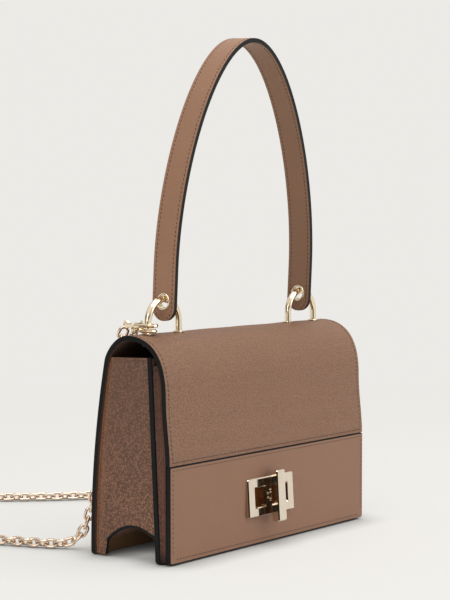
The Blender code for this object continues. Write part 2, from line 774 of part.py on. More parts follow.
def strap_line():
    """Outer line of the handle in its own frame: height from the pivot, and half width."""
    outer = strap_centre_x + strap_thickness / 2
    end = strap_end_height - arch_top_height
    straight = strap_straight_height - arch_top_height
    top = strap_top_height - arch_top_height
    half = strap_width / 2
    stations = []
    for step in range(1, strap_end_steps + 1):
        angle = math.pi / 2 * step / strap_end_steps
        stations.append((Vector((-outer, end + half * (1 - math.cos(angle)))),
                         half * math.sin(angle)))
    stations.append((Vector((-outer, (end + half + straight) / 2)), half))
    stations.append((Vector((-outer, straight)), half))
    rise = (top - straight) * strap_rise_handle_share
    reach = outer * strap_top_handle_share
    crown = bezier(Vector((-outer, straight)), Vector((-outer, straight + rise)),
                   Vector((-reach, top)), Vector((0, top)), strap_steps // 2)
    stations += [(point, half) for point in crown]
    mirrored = [(Vector((-point.x, point.y)), wide) for point, wide in stations[-2::-1]]
    return stations + mirrored


def strap_layer(name, depth, thickness, pivot, look, stations):
    """One layer of the handle strap, from a depth under its outer line."""
    outer_line = [point for point, _ in stations]
    faces = (offset_line(outer_line, depth), offset_line(outer_line, depth + thickness))
    bm = bmesh.new()
    rings = []
    for index, (_, wide) in enumerate(stations):
        top_face, under_face = faces[0][index], faces[1][index]
        ring = [bm.verts.new((top_face.x, -wide, top_face.y)),
                bm.verts.new((top_face.x, wide, top_face.y)),
                bm.verts.new((under_face.x, wide, under_face.y)),
                bm.verts.new((under_face.x, -wide, under_face.y))]
        rings.append(ring)
    for ring, following in zip(rings, rings[1:]):
        for a in range(4):
            b = (a + 1) % 4
            bm.faces.new((ring[a], ring[b], following[b], following[a]))
    bm.faces.new(rings[0])
    bm.faces.new(rings[-1][::-1])
    return add_mesh(name, finish_mesh(bm, name, smooth=True), pivot, look)


def make_handle(flap):
    """Two-layer strap with an eyelet at each end, hung on the arches."""
    pivot = add_empty("handle_pivot", (0, 0, arch_top_height), (strap_lean, 0, 0), flap)
    stations = strap_line()
    layer = (strap_thickness - clearance) / 2
    outer = strap_layer("handle_strap", 0, layer, pivot, LEATHER_LOOK, stations)
    inner = strap_layer("handle_lining", layer + clearance, layer, pivot, LEATHER_LOOK, stations)
    reach = strap_thickness / 2 + clearance
    rim = eyelet_flange_round
    profile = [(eyelet_barrel_radius, -reach), (eyelet_barrel_radius, reach),
               (eyelet_radius, reach), (eyelet_radius, reach + eyelet_flange - rim),
               (eyelet_radius - rim, reach + eyelet_flange),
               (eyelet_bore_radius + rim, reach + eyelet_flange),
               (eyelet_bore_radius, reach + eyelet_flange - rim)]
    profile += [(r, -h) for r, h in profile[:1:-1]]
    for side, label in ((-1, "left"), (1, "right")):
        centre = Vector((side * strap_centre_x, 0, -eyelet_drop))
        hole = add_mesh("eyelet_hole_cutter_" + label,
                        rod("eyelet_hole", centre - Vector((strap_width, 0, 0)),
                            centre + Vector((strap_width, 0, 0)),
                            eyelet_barrel_radius + clearance, sides=28), pivot)
        cut(outer, hole)
        cut(inner, hole)
        bm = bmesh.new()
        ring = [bm.verts.new((r, 0, h)) for r, h in profile[::-1]]
        for a, b in zip(ring, ring[1:] + ring[:1]):
            bm.edges.new((a, b))
        mesh = bpy.data.meshes.new("eyelet")
        bm.to_mesh(mesh)
        bm.free()
        eyelet = add_mesh("eyelet_" + label, mesh, pivot, GOLD_LOOK, place=centre,
                          turn=(0, math.pi / 2, 0))
        turn = eyelet.modifiers.new("turned", 'SCREW')
        turn.steps = 28
        turn.render_steps = 28
        turn.use_merge_vertices = True
        turn.merge_threshold = 0.00005
        turn.use_normal_calculate = True
        turn.use_smooth_shade = True


def make_snap(flap, number, height, fan):
    """A bolt snap round the left arch's outer leg: hook, sliding bolt and swivel eye."""
    leg_x = -arch_centre_x - arch_radius
    snap = add_empty("snap_%d" % number, (leg_x, 0, height), (0, 0, fan), flap)
    r = snap_ring_radius
    nose = bolt_nose_gap_y
    block_end = snap_block_start + snap_block_length
    points = [Vector((-r, snap_block_start + snap_block_bevel * 2, 0))]
    bend_steps = 8
    for step in range(bend_steps + 1):
        angle = math.pi * (1 + step / bend_steps)
        points.append(Vector((r * math.cos(angle), r * math.sin(angle) - snap_front_reach, 0)))
    points.append(Vector((r, nose - clearance, 0)))
    hook = add_mesh("snap_hook_%d" % number, tube_mesh("hook", points, snap_wire_radius),
                    snap, GOLD_LOOK)
    block = add_mesh("snap_block_cutter_%d" % number,
                     box("block", (0, (snap_block_start + block_end) / 2, 0),
                         (snap_block_width, snap_block_length, snap_block_thickness)), snap)
    bevel(block, snap_block_bevel, segments=2)
    cut(hook, block, 'UNION')
    bore = add_mesh("snap_bore_cutter_%d" % number,
                    rod("bore", (r, snap_block_start - cut_overrun / 2, 0),
                        (r, block_end + cut_overrun, 0), bolt_bore_radius, sides=12), snap)
    slot_height = snap_block_thickness
    slot = add_mesh("snap_slot_cutter_%d" % number,
                    box("slot", (r, (snap_block_start + block_end) / 2, slot_height / 2),
                        (2 * (bolt_stud_radius + clearance), snap_block_length + cut_overrun,
                         slot_height)), snap)
    cut(hook, bore)
    cut(hook, slot)
    pin_hole = add_mesh("swivel_hole_cutter_%d" % number,
                        rod("swivel_hole", (0, block_end - swivel_pin_depth - clearance, 0),
                            (0, block_end + cut_overrun, 0), swivel_hole_radius, sides=12), snap)
    cut(hook, pin_hole)

    slide = add_empty("snap_bolt_slide_%d" % number, (r, nose, 0), parent=snap)
    bolt = add_mesh("snap_bolt_%d" % number,
                    rod("bolt", (0, 0, 0), (0, bolt_length, 0), bolt_radius, sides=12),
                    slide, GOLD_LOOK)
    stud_y = snap_block_start - nose + bolt_stud_radius + clearance
    stud = add_mesh("bolt_stud_cutter_%d" % number,
                    rod("stud", (0, stud_y, 0), (0, stud_y, bolt_stud_height), bolt_stud_radius,
                        sides=10), slide)
    cut(bolt, stud, 'UNION')

    swivel = add_empty("snap_swivel_%d" % number, (0, block_end + clearance, 0), parent=snap)
    ring_centre = swivel_neck_length + swivel_ring_radius
    bm = bmesh.new()
    rows = []
    for step in range(swivel_ring_steps):
        angle = 2 * math.pi * step / swivel_ring_steps
        row = []
        for k in range(swivel_wire_sides):
            turn = 2 * math.pi * k / swivel_wire_sides
            reach = swivel_ring_radius + swivel_wire_radius * math.cos(turn)
            row.append(bm.verts.new((swivel_wire_radius * math.sin(turn),
                                     ring_centre - reach * math.cos(angle),
                                     reach * math.sin(angle))))
        rows.append(row)
    for a, row in enumerate(rows):
        following = rows[(a + 1) % swivel_ring_steps]
        for k in range(swivel_wire_sides):
            n = (k + 1) % swivel_wire_sides
            bm.faces.new((row[k], row[n], following[n], following[k]))
    eye = add_mesh("snap_eye_%d" % number, finish_mesh(bm, "eye", smooth=True), swivel, GOLD_LOOK)
    neck = add_mesh("swivel_neck_cutter_%d" % number,
                    rod("neck", (0, 0, 0), (0, swivel_neck_length, 0), swivel_neck_radius,
                        sides=12), swivel)
    cut(eye, neck, 'UNION')
    pin = add_mesh("swivel_pin_cutter_%d" % number,
                   rod("pin", (0, -swivel_pin_depth, 0), (0, swivel_neck_length / 2, 0),
                       swivel_pin_radius, sides=12), swivel)
    cut(eye, pin, 'UNION')


def make_chain(bag):
    """The chain strap as plain tubes: two hanging stretches and the loop on the floor."""
    points, length = smooth_route(chain_route, chain_point_spacing)
    print("chain centreline %.4f m, %d points" % (length, len(points)))
    lying = [i for i, p in enumerate(points) if p.z < chain_width / 2 + lying_slack]
    last = len(points) - 1
    stretches = (("chain_hang_front_clip", 0, lying[0]), ("chain_on_floor", lying[0], lying[-1]),
                 ("chain_hang_rear_clip", lying[-1], last))
    for name, start, end in stretches:
        run = [Vector((p.x, p.y, max(p.z, chain_width / 2))) for p in points[start:end + 1]]
        onward = points[start + 1] - points[start - 1] if start else points[1] - points[0]
        onward = Vector((onward.x, onward.y, 0 if start else onward.z)).normalized()
        gap = clearance / 2 if start else 0
        run[:1] = [run[0] + onward * gap, run[0] + onward * chain_width / 2]
        back = points[end - 1] - points[min(end + 1, last)]
        back = Vector((back.x, back.y, 0 if end < last else back.z)).normalized()
        gap = clearance / 2 if end < last else 0
        run[-1:] = [run[-1] + back * chain_width / 2, run[-1] + back * gap]
        add_mesh(name, tube_mesh(name, run, chain_width / 2), bag, GOLD_LOOK)


def build():
    bag = add_empty("bag", (0, body_shift, 0))
    outline = flap_outline()
    hinge = Vector((0, outline[0].x, outline[0].y))
    hinge_empty = add_empty("flap_hinge", hinge, parent=bag)
    flap = add_empty("flap_frame", -hinge, parent=hinge_empty)
    make_back(bag)
    make_divider(bag)
    make_compartment(bag)
    pocket_wall_obj = make_pocket(bag, outline)
    upper, lower, inside = make_flap(flap, outline)
    make_lock(flap, lower, inside, pocket_wall_obj, bag)
    arches = add_empty("arch_frame", (0, -arch_forward, 0), parent=flap)
    make_arches(arches, upper, inside)
    make_handle(arches)
    low = crest_height + snap_low_height
    make_snap(arches, 1, low + snap_stack_step, 0)
    make_snap(arches, 2, low, snap_fan)
    make_chain(bag)


for old in list(bpy.data.objects):
    bpy.data.objects.remove(old)
parts = bpy.data.collections.new("leather_crossbody_bag")
cutters = bpy.data.collections.new("cutters")
bpy.context.scene.collection.children.link(parts)
bpy.context.scene.collection.children.link(cutters)
build()
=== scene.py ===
import json
import math

import bmesh
import bpy
from mathutils import Matrix, Vector, noise


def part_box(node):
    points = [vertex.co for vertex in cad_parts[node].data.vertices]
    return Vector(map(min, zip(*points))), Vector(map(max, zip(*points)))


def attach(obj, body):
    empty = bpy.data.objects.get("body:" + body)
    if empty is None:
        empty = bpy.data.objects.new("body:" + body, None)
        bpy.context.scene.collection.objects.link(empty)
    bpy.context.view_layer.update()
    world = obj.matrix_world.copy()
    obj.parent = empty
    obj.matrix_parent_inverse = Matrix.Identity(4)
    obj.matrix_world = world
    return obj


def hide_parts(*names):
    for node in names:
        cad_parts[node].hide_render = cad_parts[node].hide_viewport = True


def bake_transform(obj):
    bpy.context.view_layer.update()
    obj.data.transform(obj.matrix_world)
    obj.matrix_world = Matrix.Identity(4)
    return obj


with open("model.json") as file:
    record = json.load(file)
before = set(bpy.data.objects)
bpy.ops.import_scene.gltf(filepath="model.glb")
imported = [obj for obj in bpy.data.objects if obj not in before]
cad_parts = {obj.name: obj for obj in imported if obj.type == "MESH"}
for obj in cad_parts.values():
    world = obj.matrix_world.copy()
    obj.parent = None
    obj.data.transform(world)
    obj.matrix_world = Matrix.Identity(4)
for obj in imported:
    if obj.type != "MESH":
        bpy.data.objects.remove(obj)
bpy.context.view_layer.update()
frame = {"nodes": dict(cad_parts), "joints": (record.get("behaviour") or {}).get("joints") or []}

MM = 0.001
joints = {joint["name"]: joint for joint in frame["joints"]}

# Sizes of the bag in millimetres, in the leather body's own frame: x is 0 in the middle,
# y is 0 at mid depth and z is 0 on the floor. Outlines seen from the side are (y, z).
WIDTH = 235.0
HALF = WIDTH / 2
INNER_HALF = 114.2
SIDES = ((-1, "left"), (1, "right"))
CREST = 155.5
HINGE = (23.2, 137.0)
FLAP_CURVES = (
    (HINGE, (21.7, 144.4), (12.0, CREST), (2.0, CREST)),
    ((2.0, CREST), (-18.0, CREST), (-32.5, 144.3), (-32.5, 114.0)),
    ((-32.5, 114.0), (-32.5, 97.9), (-35.6, 84.1), (-35.9, 68.0)),
)
FLAP_STEPS = (26, 26, 13)
BACK_FOOT_Y = 36.2
BACK_BOW = 3.6
SEAM_Z = 67.7
SEAM_GAP = 0.8
SKIN = 3.5
FRONT_Y = -36.2
FLOOR_LIFT = 1.2
CORNER = 2.0
FOOT_CORNER = 2.6
FOOT_COLUMNS = (0.0, 0.3, 0.8, 1.6, 2.6, 4.5, 8.0)
# Up to this height, and this far in from the ends, the back's lining is a lighter suede: painted
# light where light comes in under the arches
PAINTED_LIGHT_LINING_TOP = 14.0
PAINTED_LIGHT_LINING_INSET = 4.5
DIVIDER_FOOT_Y = -26.9
DIVIDER_LEAN = 7.2
DIVIDER_THICK = 4.2
DIVIDER_TOP = 141.4
POCKET_SETBACK = 4.0
POCKET_GUSSET_TOP = 136.0
KEEPER_PLAY = 0.3
SHEET_GAP = 0.3
GUSSET_X = 116.7
GUSSET_OUTMOST = 117.2
GUSSET_THICK = 2.2
GUSSET_DEPTH = 54.2
GUSSET_TOP_FRONT = 140.8
GUSSET_TOP_BACK = 139.8
FLANGE_SHARE = 0.165
# Where the painted highlight along a gusset's back flange starts across the gusset, and how far it
# fades in
PAINTED_HIGHLIGHT_START = 0.84
PAINTED_HIGHLIGHT_FADE = 0.05

# The bowed lower edge of the gussets and the base: where it ends, and its height at the front,
# in the middle and at the back
BOW_Y = (-22.2, 22.0)
BOW_Z = (16.5, 23.2, 11.8)
BOW_PLACES = [-22.0 + 44.0 * k / 24 for k in range(25)]

# Wire arches, strap and eyelets
PIVOT_Z = 179.2
ARCH_X = 82.8
ARCH_Y = -1.1
ARCH_RADIUS = 16.7
ARCH_WIRE = 2.5
ARCH_SPRING = CREST + 7.0
STRAP_HALF = 10.0
STRAP_THICK = 3.2
STRAP_OUTER = 82.6
STRAP_TOP = 367.0
STRAP_STRAIGHT = 200.0
STRAP_END = 163.8
STRAP_PULL = (77.0, 42.3)
STRAP_LEAN = math.radians(2.7)
EYELET_RADIUS = 6.2
EYELET_ROLL = 0.85
EYELET_BORE = 5.4

# Turn lock
LOCK_PLACE = (-5.5, -38.65, 35.0)
LOCK_TILT = math.radians(3.5)
PLATE_HALF = (27.5, 13.9)
PLATE_WINDOW = (6.2, 19.3, 7.0)
PLATE_THICK = 3.2
PLATE_CHAMFER = 0.8
BRIDGE_CORNERS = (15, 14, 8, 9)
BAR_HALF = (5.0, 3.3, 18.5)
BAR_STANDOFF = 3.0
BAR_CHAMFER = 1.2
COLLAR_RADIUS = 4.4
SPINDLE_RADIUS = 2.0
SPINDLE_REACH = 8.75
SPINDLE_PLAY = 0.3
BACK_SHIFT = joints["flap_hinge"]["pos_m"][1] / MM - HINGE[0]


def place(x, y, z):
    """A point of the leather body's own frame, in the frame's metres."""
    return Vector((x, y + BACK_SHIFT, z)) * MM


def srgb(red, green, blue):
    """A screen colour of 0 to 255 as the linear colour that Blender takes."""
    def linear(value):
        value /= 255
        return value / 12.92 if value <= 0.04045 else ((value + 0.055) / 1.055) ** 2.4
    return (linear(red), linear(green), linear(blue), 1.0)


# Materials


class Nodes:
    """Short calls for building the nodes of one material, or of the world."""

    def __init__(self, name, world=False):
        self.owner = (bpy.data.worlds if world else bpy.data.materials).new(name)
        self.owner.use_nodes = True
        self.tree = self.owner.node_tree
        self.shader = self.tree.nodes["Background" if world else "Principled BSDF"]

    def fill(self, socket, value):
        if isinstance(value, bpy.types.NodeSocket):
            self.tree.links.new(value, socket)
        else:
            socket.default_value = value

    def add(self, kind, inputs=None, **settings):
        node = self.tree.nodes.new(kind)
        for key, value in settings.items():
            setattr(node, key, value)
        for key, value in (inputs or {}).items():
            self.fill(node.inputs[key], value)
        return node

    def set(self, **values):
        """Fills the shader's own sockets; an underscore stands for a space in their names."""
        for key, value in values.items():
            self.fill(self.shader.inputs[key.replace("_", " ")], value)

    def where(self):
        return self.add("ShaderNodeTexCoord").outputs["Object"]

    def math(self, operation, first, second=0.0, clamp=False):
        return self.add("ShaderNodeMath", {0: first, 1: second}, operation=operation,
                        use_clamp=clamp).outputs[0]

    def times(self, first, second, clamp=False):
        return self.math('MULTIPLY', first, second, clamp)

    def vector(self, operation, first, second):
        return self.add("ShaderNodeVectorMath", {0: first, 1: second},
                        operation=operation).outputs[0]

    def mix(self, factor, first, second):
        return self.add("ShaderNodeMix", {"Factor": factor, 6: first, 7: second},
                        data_type='RGBA').outputs[2]

    def noise(self, where, scale, detail, output="Fac"):
        return self.add("ShaderNodeTexNoise", {"Vector": where, "Scale": scale,
                                               "Detail": detail}).outputs[output]

    def bump(self, height, strength, distance):
        return self.add("ShaderNodeBump", {"Height": height, "Strength": strength,
                                           "Distance": distance}).outputs[0]

    def occlusion(self, distance, samples):
        return self.add("ShaderNodeAmbientOcclusion", {"Distance": distance},
                        samples=samples).outputs["AO"]

    def span(self, value, low, high, at_low=0.0, at_high=1.0):
        """Goes from at_low to at_high while the value goes from low to high."""
        return self.add("ShaderNodeMapRange", {
            "Value": value, "From Min": low, "From Max": high, "To Min": at_low,
            "To Max": at_high}).outputs[0]

    def flag(self, value, middle, reach, soft):
        """1 within reach of the middle, fading to 0 over a soft edge."""
        apart = self.math('ABSOLUTE', self.math('SUBTRACT', value, middle))
        return self.span(apart, reach, reach + soft, 1.0, 0.0)


def toned(colour, factor):
    """The colour made darker, or brighter up to white."""
    return tuple(min(c * factor, 1.0) for c in colour[:3]) + (1.0,)


def leather(name, colour, grain, cell, roughness=0.50, shade=0.10, valley_tone_and_shade_share=0.50,
            painted_highlight_share=0.30, painted_crease_shade=0.0, painted_top_shade=0.0, squash=1.0):
    """Leather with a pebbled grain of a given cell size in millimetres, and uneven colour.

    The darkening share for folds, above zero, adds painted shade where the leather is folded in or
    close to another piece. The share for the top adds painted shade towards the top of the bag,
    and a warm painted highlight along the back flange marked on the mesh."""
    n = Nodes(name)
    where = n.where()
    bent = n.vector('MULTIPLY', n.noise(where, 260.0, 2.0, "Color"), (0.0011, 0.0011, 0.0011))
    moved = n.vector('MULTIPLY', n.vector('ADD', where, bent), (1.0, 1.0, squash))
    cells = n.add("ShaderNodeTexVoronoi", {"Vector": moved, "Scale": 1000.0 / cell,
                                           "Randomness": 0.8}, feature='F1')
    off_centre = cells.outputs["Distance"]
    tilt = n.add("ShaderNodeSeparateColor", {"Color": cells.outputs["Color"]}).outputs[0]
    fine = n.noise(where, 2600.0, 4.0)
    broad = n.noise(where, 22.0, 3.0)
    domes = n.math('SUBTRACT', 1.0, n.math('POWER', off_centre, 2.0))
    height = n.math('ADD', n.math('ADD', domes, n.times(tilt, 0.22)), n.times(fine, 0.16))
    # Painted highlight: the pebbles' crowns are made lighter. The hollows between them are made
    # darker, partly as the grain's own colour and partly as painted shade.
    painted_highlight_tops = n.times(n.span(off_centre, 0.06, 0.36, 1.0, 0.0), grain, clamp=True)
    valley_tone_and_shade = n.times(n.span(off_centre, 0.34, 0.70), grain, clamp=True)
    skin = n.mix(broad, toned(colour, 1 - shade), toned(colour, 1 + shade))
    skin = n.mix(painted_highlight_tops, skin, toned(colour, 1 + painted_highlight_share))
    skin = n.mix(valley_tone_and_shade, skin, toned(colour, 1 - valley_tone_and_shade_share))
    # Painted shade, darker towards the top of the bag, and a painted highlight along the back
    # flange.
    if painted_top_shade:
        rise = n.add("ShaderNodeSeparateXYZ", {0: where}).outputs["Z"]
        skin = n.mix(n.span(rise, 0.03, 0.14, 0.0, painted_top_shade), skin, toned(colour, 0.5))
        # Painted highlight: a warm lighter strip along the gusset's back flange.
        painted_hem_highlight = n.add("ShaderNodeAttribute", attribute_name="painted_hem_highlight").outputs["Fac"]
        skin = n.mix(n.times(painted_hem_highlight, 0.50), skin, srgb(138, 92, 64))
    # Painted shade where the leather is folded in or close to another piece, found by occlusion.
    if painted_crease_shade:
        closed_in = n.math('SUBTRACT', 1.0, n.occlusion(0.012, 8))
        skin = n.mix(n.times(closed_in, painted_crease_shade, clamp=True), skin, toned(colour, 0.10))
    gloss = n.math('ADD', n.times(broad, 0.10), roughness - 0.05)
    n.set(Base_Color=skin, Roughness=gloss, Specular_IOR_Level=0.34,
          Normal=n.bump(height, min(grain, 1.0), 0.0007 * grain))
    return n.owner


def edge_paint(name):
    """Black paint on a cut leather edge: smooth, a little wavy."""
    n = Nodes(name)
    wave = n.noise(n.where(), 180.0, 3.0)
    n.set(Base_Color=n.mix(wave, srgb(4, 4, 6), srgb(12, 11, 14)), Roughness=0.42,
          Specular_IOR_Level=0.20, Normal=n.bump(wave, 0.35, 0.0003))
    return n.owner


def lining_suede(name, colour):
    n = Nodes(name)
    nap = n.noise(n.where(), 900.0, 5.0)
    n.set(Base_Color=n.mix(nap, toned(colour, 0.75), colour), Roughness=0.85,
          Normal=n.bump(nap, 0.4, 0.0002))
    return n.owner


def thread(name, colour):
    n = Nodes(name)
    twist = n.add("ShaderNodeTexWave", {"Vector": n.where(), "Scale": 900.0,
                                        "Distortion": 1.0}).outputs["Fac"]
    n.set(Base_Color=n.mix(twist, toned(colour, 0.7), colour), Roughness=0.6,
          Normal=n.bump(twist, 0.4, 0.0001))
    return n.owner


def gold(name, roughness=0.12, pale=(0.93, 0.82, 0.64), warm=(0.84, 0.70, 0.49)):
    """Polished pale gold with faint rubbing marks."""
    n = Nodes(name)
    rub = n.noise(n.where(), 160.0, 4.0)
    n.set(Base_Color=n.mix(rub, warm + (1.0,), pale + (1.0,)), Metallic=1.0,
          Roughness=n.math('ADD', n.times(rub, 0.08), roughness - 0.04))
    return n.owner


pebbled = leather("pebbled_leather", srgb(137, 101, 78), grain=0.80, cell=1.45, valley_tone_and_shade_share=0.24,
                  painted_highlight_share=0.16, squash=1.25)
smooth = leather("smooth_leather", srgb(140, 104, 82), grain=0.16, cell=0.70, roughness=0.46,
                 shade=0.05)
# Gusset leather, with painted shade towards the top and a painted highlight along its back flange.
side = leather("gusset_leather", srgb(135, 96, 74), grain=1.0, cell=1.55, roughness=0.40,
               valley_tone_and_shade_share=0.48, painted_highlight_share=0.92, painted_top_shade=0.50)
# Pocket gusset leather, with painted shade in its fold and towards the top.
fold_leather = leather("pocket_fold_leather", srgb(124, 80, 60), grain=0.8, cell=1.5,
                       roughness=0.48, painted_crease_shade=2.1, painted_top_shade=0.60)
strap_skin = leather("strap_leather", srgb(160, 120, 95), grain=0.20, cell=0.80, roughness=0.45,
                     shade=0.06)
# The strap's lining layer, darker: partly its own tone and partly painted shade on the strap's
# inner faces.
strap_lining_and_shade = leather("strap_lining_leather_and_painted_shade", srgb(140, 104, 80), grain=0.20, cell=0.80,
                      roughness=0.47, shade=0.06)
paint = edge_paint("edge_paint")
suede = lining_suede("lining_suede", srgb(92, 64, 46))
# Lighter suede: painted light on the back's lining near the floor.
painted_light_foot_suede = lining_suede("foot_lining_suede_painted_light", srgb(176, 138, 98))
tonal = thread("tonal_thread", srgb(72, 43, 34))
tonal_side = thread("side_thread", srgb(96, 64, 49))
metal = gold("pale_gold")
links = gold("chain_gold", roughness=0.14, pale=(0.93, 0.79, 0.65), warm=(0.74, 0.56, 0.42))
lock_metal = gold("lock_gold", roughness=0.10, pale=(0.84, 0.75, 0.64), warm=(0.72, 0.61, 0.48))
# Dark metal for the hidden hardware: painted shade.
painted_shade_metal = gold("painted_shade_metal", roughness=0.45, pale=(0.10, 0.08, 0.06), warm=(0.06, 0.05, 0.04))


# Mesh helpers


def add_object(name, data):
    piece = bpy.data.objects.new(name, data)
    bpy.context.scene.collection.objects.link(piece)
    return piece


def add_mesh(name, bm, materials):
    """Turns a bmesh into a smooth shaded object."""
    mesh = bpy.data.meshes.new(name)
    bm.to_mesh(mesh)
    bm.free()
    for used in materials:
        mesh.materials.append(used)
    mesh.shade_smooth()
    return add_object(name, mesh)


def assign(piece, slot, body, *replaced):
    """Hides the nodes a piece stands for and attaches it to the body it moves with. The slot is
    not used.
    """
    if replaced:
        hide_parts(*replaced)
    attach(piece, body)


def finish_piece(bm, name, materials, smooth_angle=35):
    bmesh.ops.recalc_face_normals(bm, faces=bm.faces)
    piece = add_mesh(name, bm, materials)
    piece.data.set_sharp_from_angle(angle=math.radians(smooth_angle))
    return piece


def grid_piece(name, rows, materials, skip=None):
    """A sheet from rows of points; skip(row, column) leaves a face out."""
    bm = bmesh.new()
    verts = [[bm.verts.new(point) for point in row] for row in rows]
    for i, (row, following) in enumerate(zip(verts, verts[1:])):
        for j in range(len(row) - 1):
            if skip and skip(i, j):
                continue
            bm.faces.new((row[j], row[j + 1], following[j + 1], following[j]))
    loose = [v for v in bm.verts if not v.link_faces]
    bmesh.ops.delete(bm, geom=loose, context='VERTS')
    bm.normal_update()
    return add_mesh(name, bm, materials)


def face_towards(piece, seen_from):
    """Turns a sheet so that its face nearest a point, in the body's millimetres, looks there."""
    eye = place(*seen_from)
    near = min(piece.data.polygons, key=lambda f: (f.center - eye).length)
    if near.normal.dot(eye - near.center) <= 0:
        piece.data.flip_normals()


def round_edges(piece, width, segments):
    """A bevel along the sharp edges, of a width in millimetres."""
    edge = piece.modifiers.new("rounding", 'BEVEL')
    edge.width = width * MM
    edge.segments = segments
    edge.limit_method = 'ANGLE'
    edge.angle_limit = math.radians(60)
    return edge


def thicken(piece, thickness, seen_from=None, rounding=0.8, rim=1, inner=2):
    """Gives a sheet its thickness, painted edges and a lining, and rounds the edges.

    The sheet's outer side faces seen_from; without it, the sheet is the middle layer."""
    if seen_from:
        face_towards(piece, seen_from)
    solid = piece.modifiers.new("thickness", 'SOLIDIFY')
    solid.thickness = thickness * MM
    solid.offset = -1.0 if seen_from else 0.0
    solid.use_even_offset = True
    solid.material_offset_rim = rim
    solid.material_offset = inner
    edge = round_edges(piece, rounding, 4)
    edge.use_clamp_overlap = True
    edge.harden_normals = True
    edge.material = rim
    return edge


def turns(count, start=0.0):
    """Even angles round a full turn."""
    return [2 * math.pi * (k + start) / count for k in range(count)]


def add_band(bm, ring, following):
    """Faces between two closed rings of as many points."""
    for k in range(len(ring)):
        n = (k + 1) % len(ring)
        bm.faces.new((ring[k], ring[n], following[n], following[k]))


def add_tube(bm, points, radius, sides=12, closed=False):
    """A tube round a line, whose rings turn as little as possible from one to the next."""
    count = len(points)
    rings = []
    normal = None
    for index in range(count):
        if closed:
            ahead = points[(index + 1) % count] - points[index - 1]
        else:
            ahead = points[min(index + 1, count - 1)] - points[max(index - 1, 0)]
        ahead = ahead.normalized()
        if normal is None:
            normal = Vector((0, 0, 1)) if abs(ahead.z) < 0.9 else Vector((1, 0, 0))
        normal = (normal - ahead * normal.dot(ahead)).normalized()
        sideways = ahead.cross(normal)
        rings.append([bm.verts.new(points[index] + normal * (math.cos(a) * radius)
                                   + sideways * (math.sin(a) * radius)) for a in turns(sides)])
    pairs = list(zip(rings, rings[1:]))
    if closed:
        first, last = rings[0], rings[-1]
        start = min(range(sides), key=lambda k: (first[k].co - last[0].co).length)
        pairs.append((last, first[start:] + first[:start]))
    for ring, following in pairs:
        add_band(bm, ring, following)
    if not closed:
        bm.faces.new(rings[0][::-1])
        bm.faces.new(rings[-1])


def add_turned(bm, origin, axis, profile, sides=32):
    """A turned ring or knob from a closed profile of (radius, height) in millimetres."""
    up = Vector(axis).normalized()
    helper = Vector((1, 0, 0)) if abs(up.x) < 0.9 else Vector((0, 1, 0))
    first = (helper - up * helper.dot(up)).normalized()
    second = up.cross(first)
    rings = []
    for a in turns(sides):
        out = first * math.cos(a) + second * math.sin(a)
        rings.append([bm.verts.new(origin + out * (r * MM) + up * (h * MM)) for r, h in profile])
    for k, ring in enumerate(rings):
        add_band(bm, ring, rings[(k + 1) % sides])


def bezier(p0, p1, p2, p3, steps):
    out = []
    for step in range(1, steps + 1):
        t = step / steps
        u = 1 - t
        out.append(tuple(u ** 3 * a + 3 * u * u * t * b + 3 * u * t * t * c + t ** 3 * d
                         for a, b, c, d in zip(p0, p1, p2, p3)))
    return out


def along(points, places):
    """Finds places on a line of points; places(length) lists how far along it they lie.

    Yields the number of the point before each place, and the share of the way to the next."""
    lengths = [0.0]
    for a, b in zip(points, points[1:]):
        lengths.append(lengths[-1] + (b - a).length)
    index = 0
    for target in places(lengths[-1]):
        while index < len(lengths) - 2 and lengths[index + 1] < target:
            index += 1
        step = max(lengths[index + 1] - lengths[index], 1e-9)
        yield index, min((target - lengths[index]) / step, 1.0)


def spaced(points, step):
    """The same line with points at about even steps."""
    def places(length):
        count = max(round(length / step), 1)
        return [length * k / count for k in range(count + 1)]

    return [points[index].lerp(points[index + 1], share) for index, share in along(points, places)]


def ellipsoid(rings=4, sides=8):
    """A unit ball's points and faces, for stitches."""
    points = [Vector((-1, 0, 0))]
    for ring in range(1, rings):
        a = math.pi * ring / rings
        for b in turns(sides):
            points.append(Vector((-math.cos(a), math.sin(a) * math.cos(b),
                                  math.sin(a) * math.sin(b))))
    points.append(Vector((1, 0, 0)))
    last = len(points) - 1
    faces = []
    for k in range(sides):
        n = (k + 1) % sides
        faces.append((0, 1 + n, 1 + k))
        for ring in range(rings - 2):
            low = 1 + ring * sides
            faces.append((low + k, low + n, low + sides + n, low + sides + k))
        faces.append((last, last - sides + k, last - sides + n))
    return points, faces


def stitches(name, lines, used=tonal, length=2.5, pitch=3.1, thick=0.78, sunk=0.14):
    """Stitches along lines of (point, outward normal), in metres."""
    def places(whole):
        count = int(whole / (pitch * MM))
        return [whole * (k + 0.5) / count for k in range(count)]

    ball, ball_faces = ellipsoid()
    verts, faces = [], []
    size = Vector((length / 2, thick / 2, thick / 2)) * MM
    for line in lines:
        points = [Vector(p) for p, _ in line]
        normals = [Vector(n) for _, n in line]
        for index, share in along(points, places):
            up = normals[index].lerp(normals[index + 1], share).normalized()
            ahead = (points[index + 1] - points[index]).normalized()
            slant = (ahead + up.cross(ahead).normalized() * 0.10).normalized()
            sideways = up.cross(slant)
            centre = points[index].lerp(points[index + 1], share) - up * (sunk * MM)
            first = len(verts)
            verts += [centre + slant * (p.x * size.x) + sideways * (p.y * size.y)
                      + up * (p.z * size.z) for p in ball]
            faces += [tuple(first + i for i in face) for face in ball_faces]
    mesh = bpy.data.meshes.new(name)
    mesh.from_pydata(verts, [], faces)
    mesh.materials.append(used)
    mesh.shade_smooth()
    return add_object(name, mesh)


# Outlines of the leather body, seen from the side as (y, z)


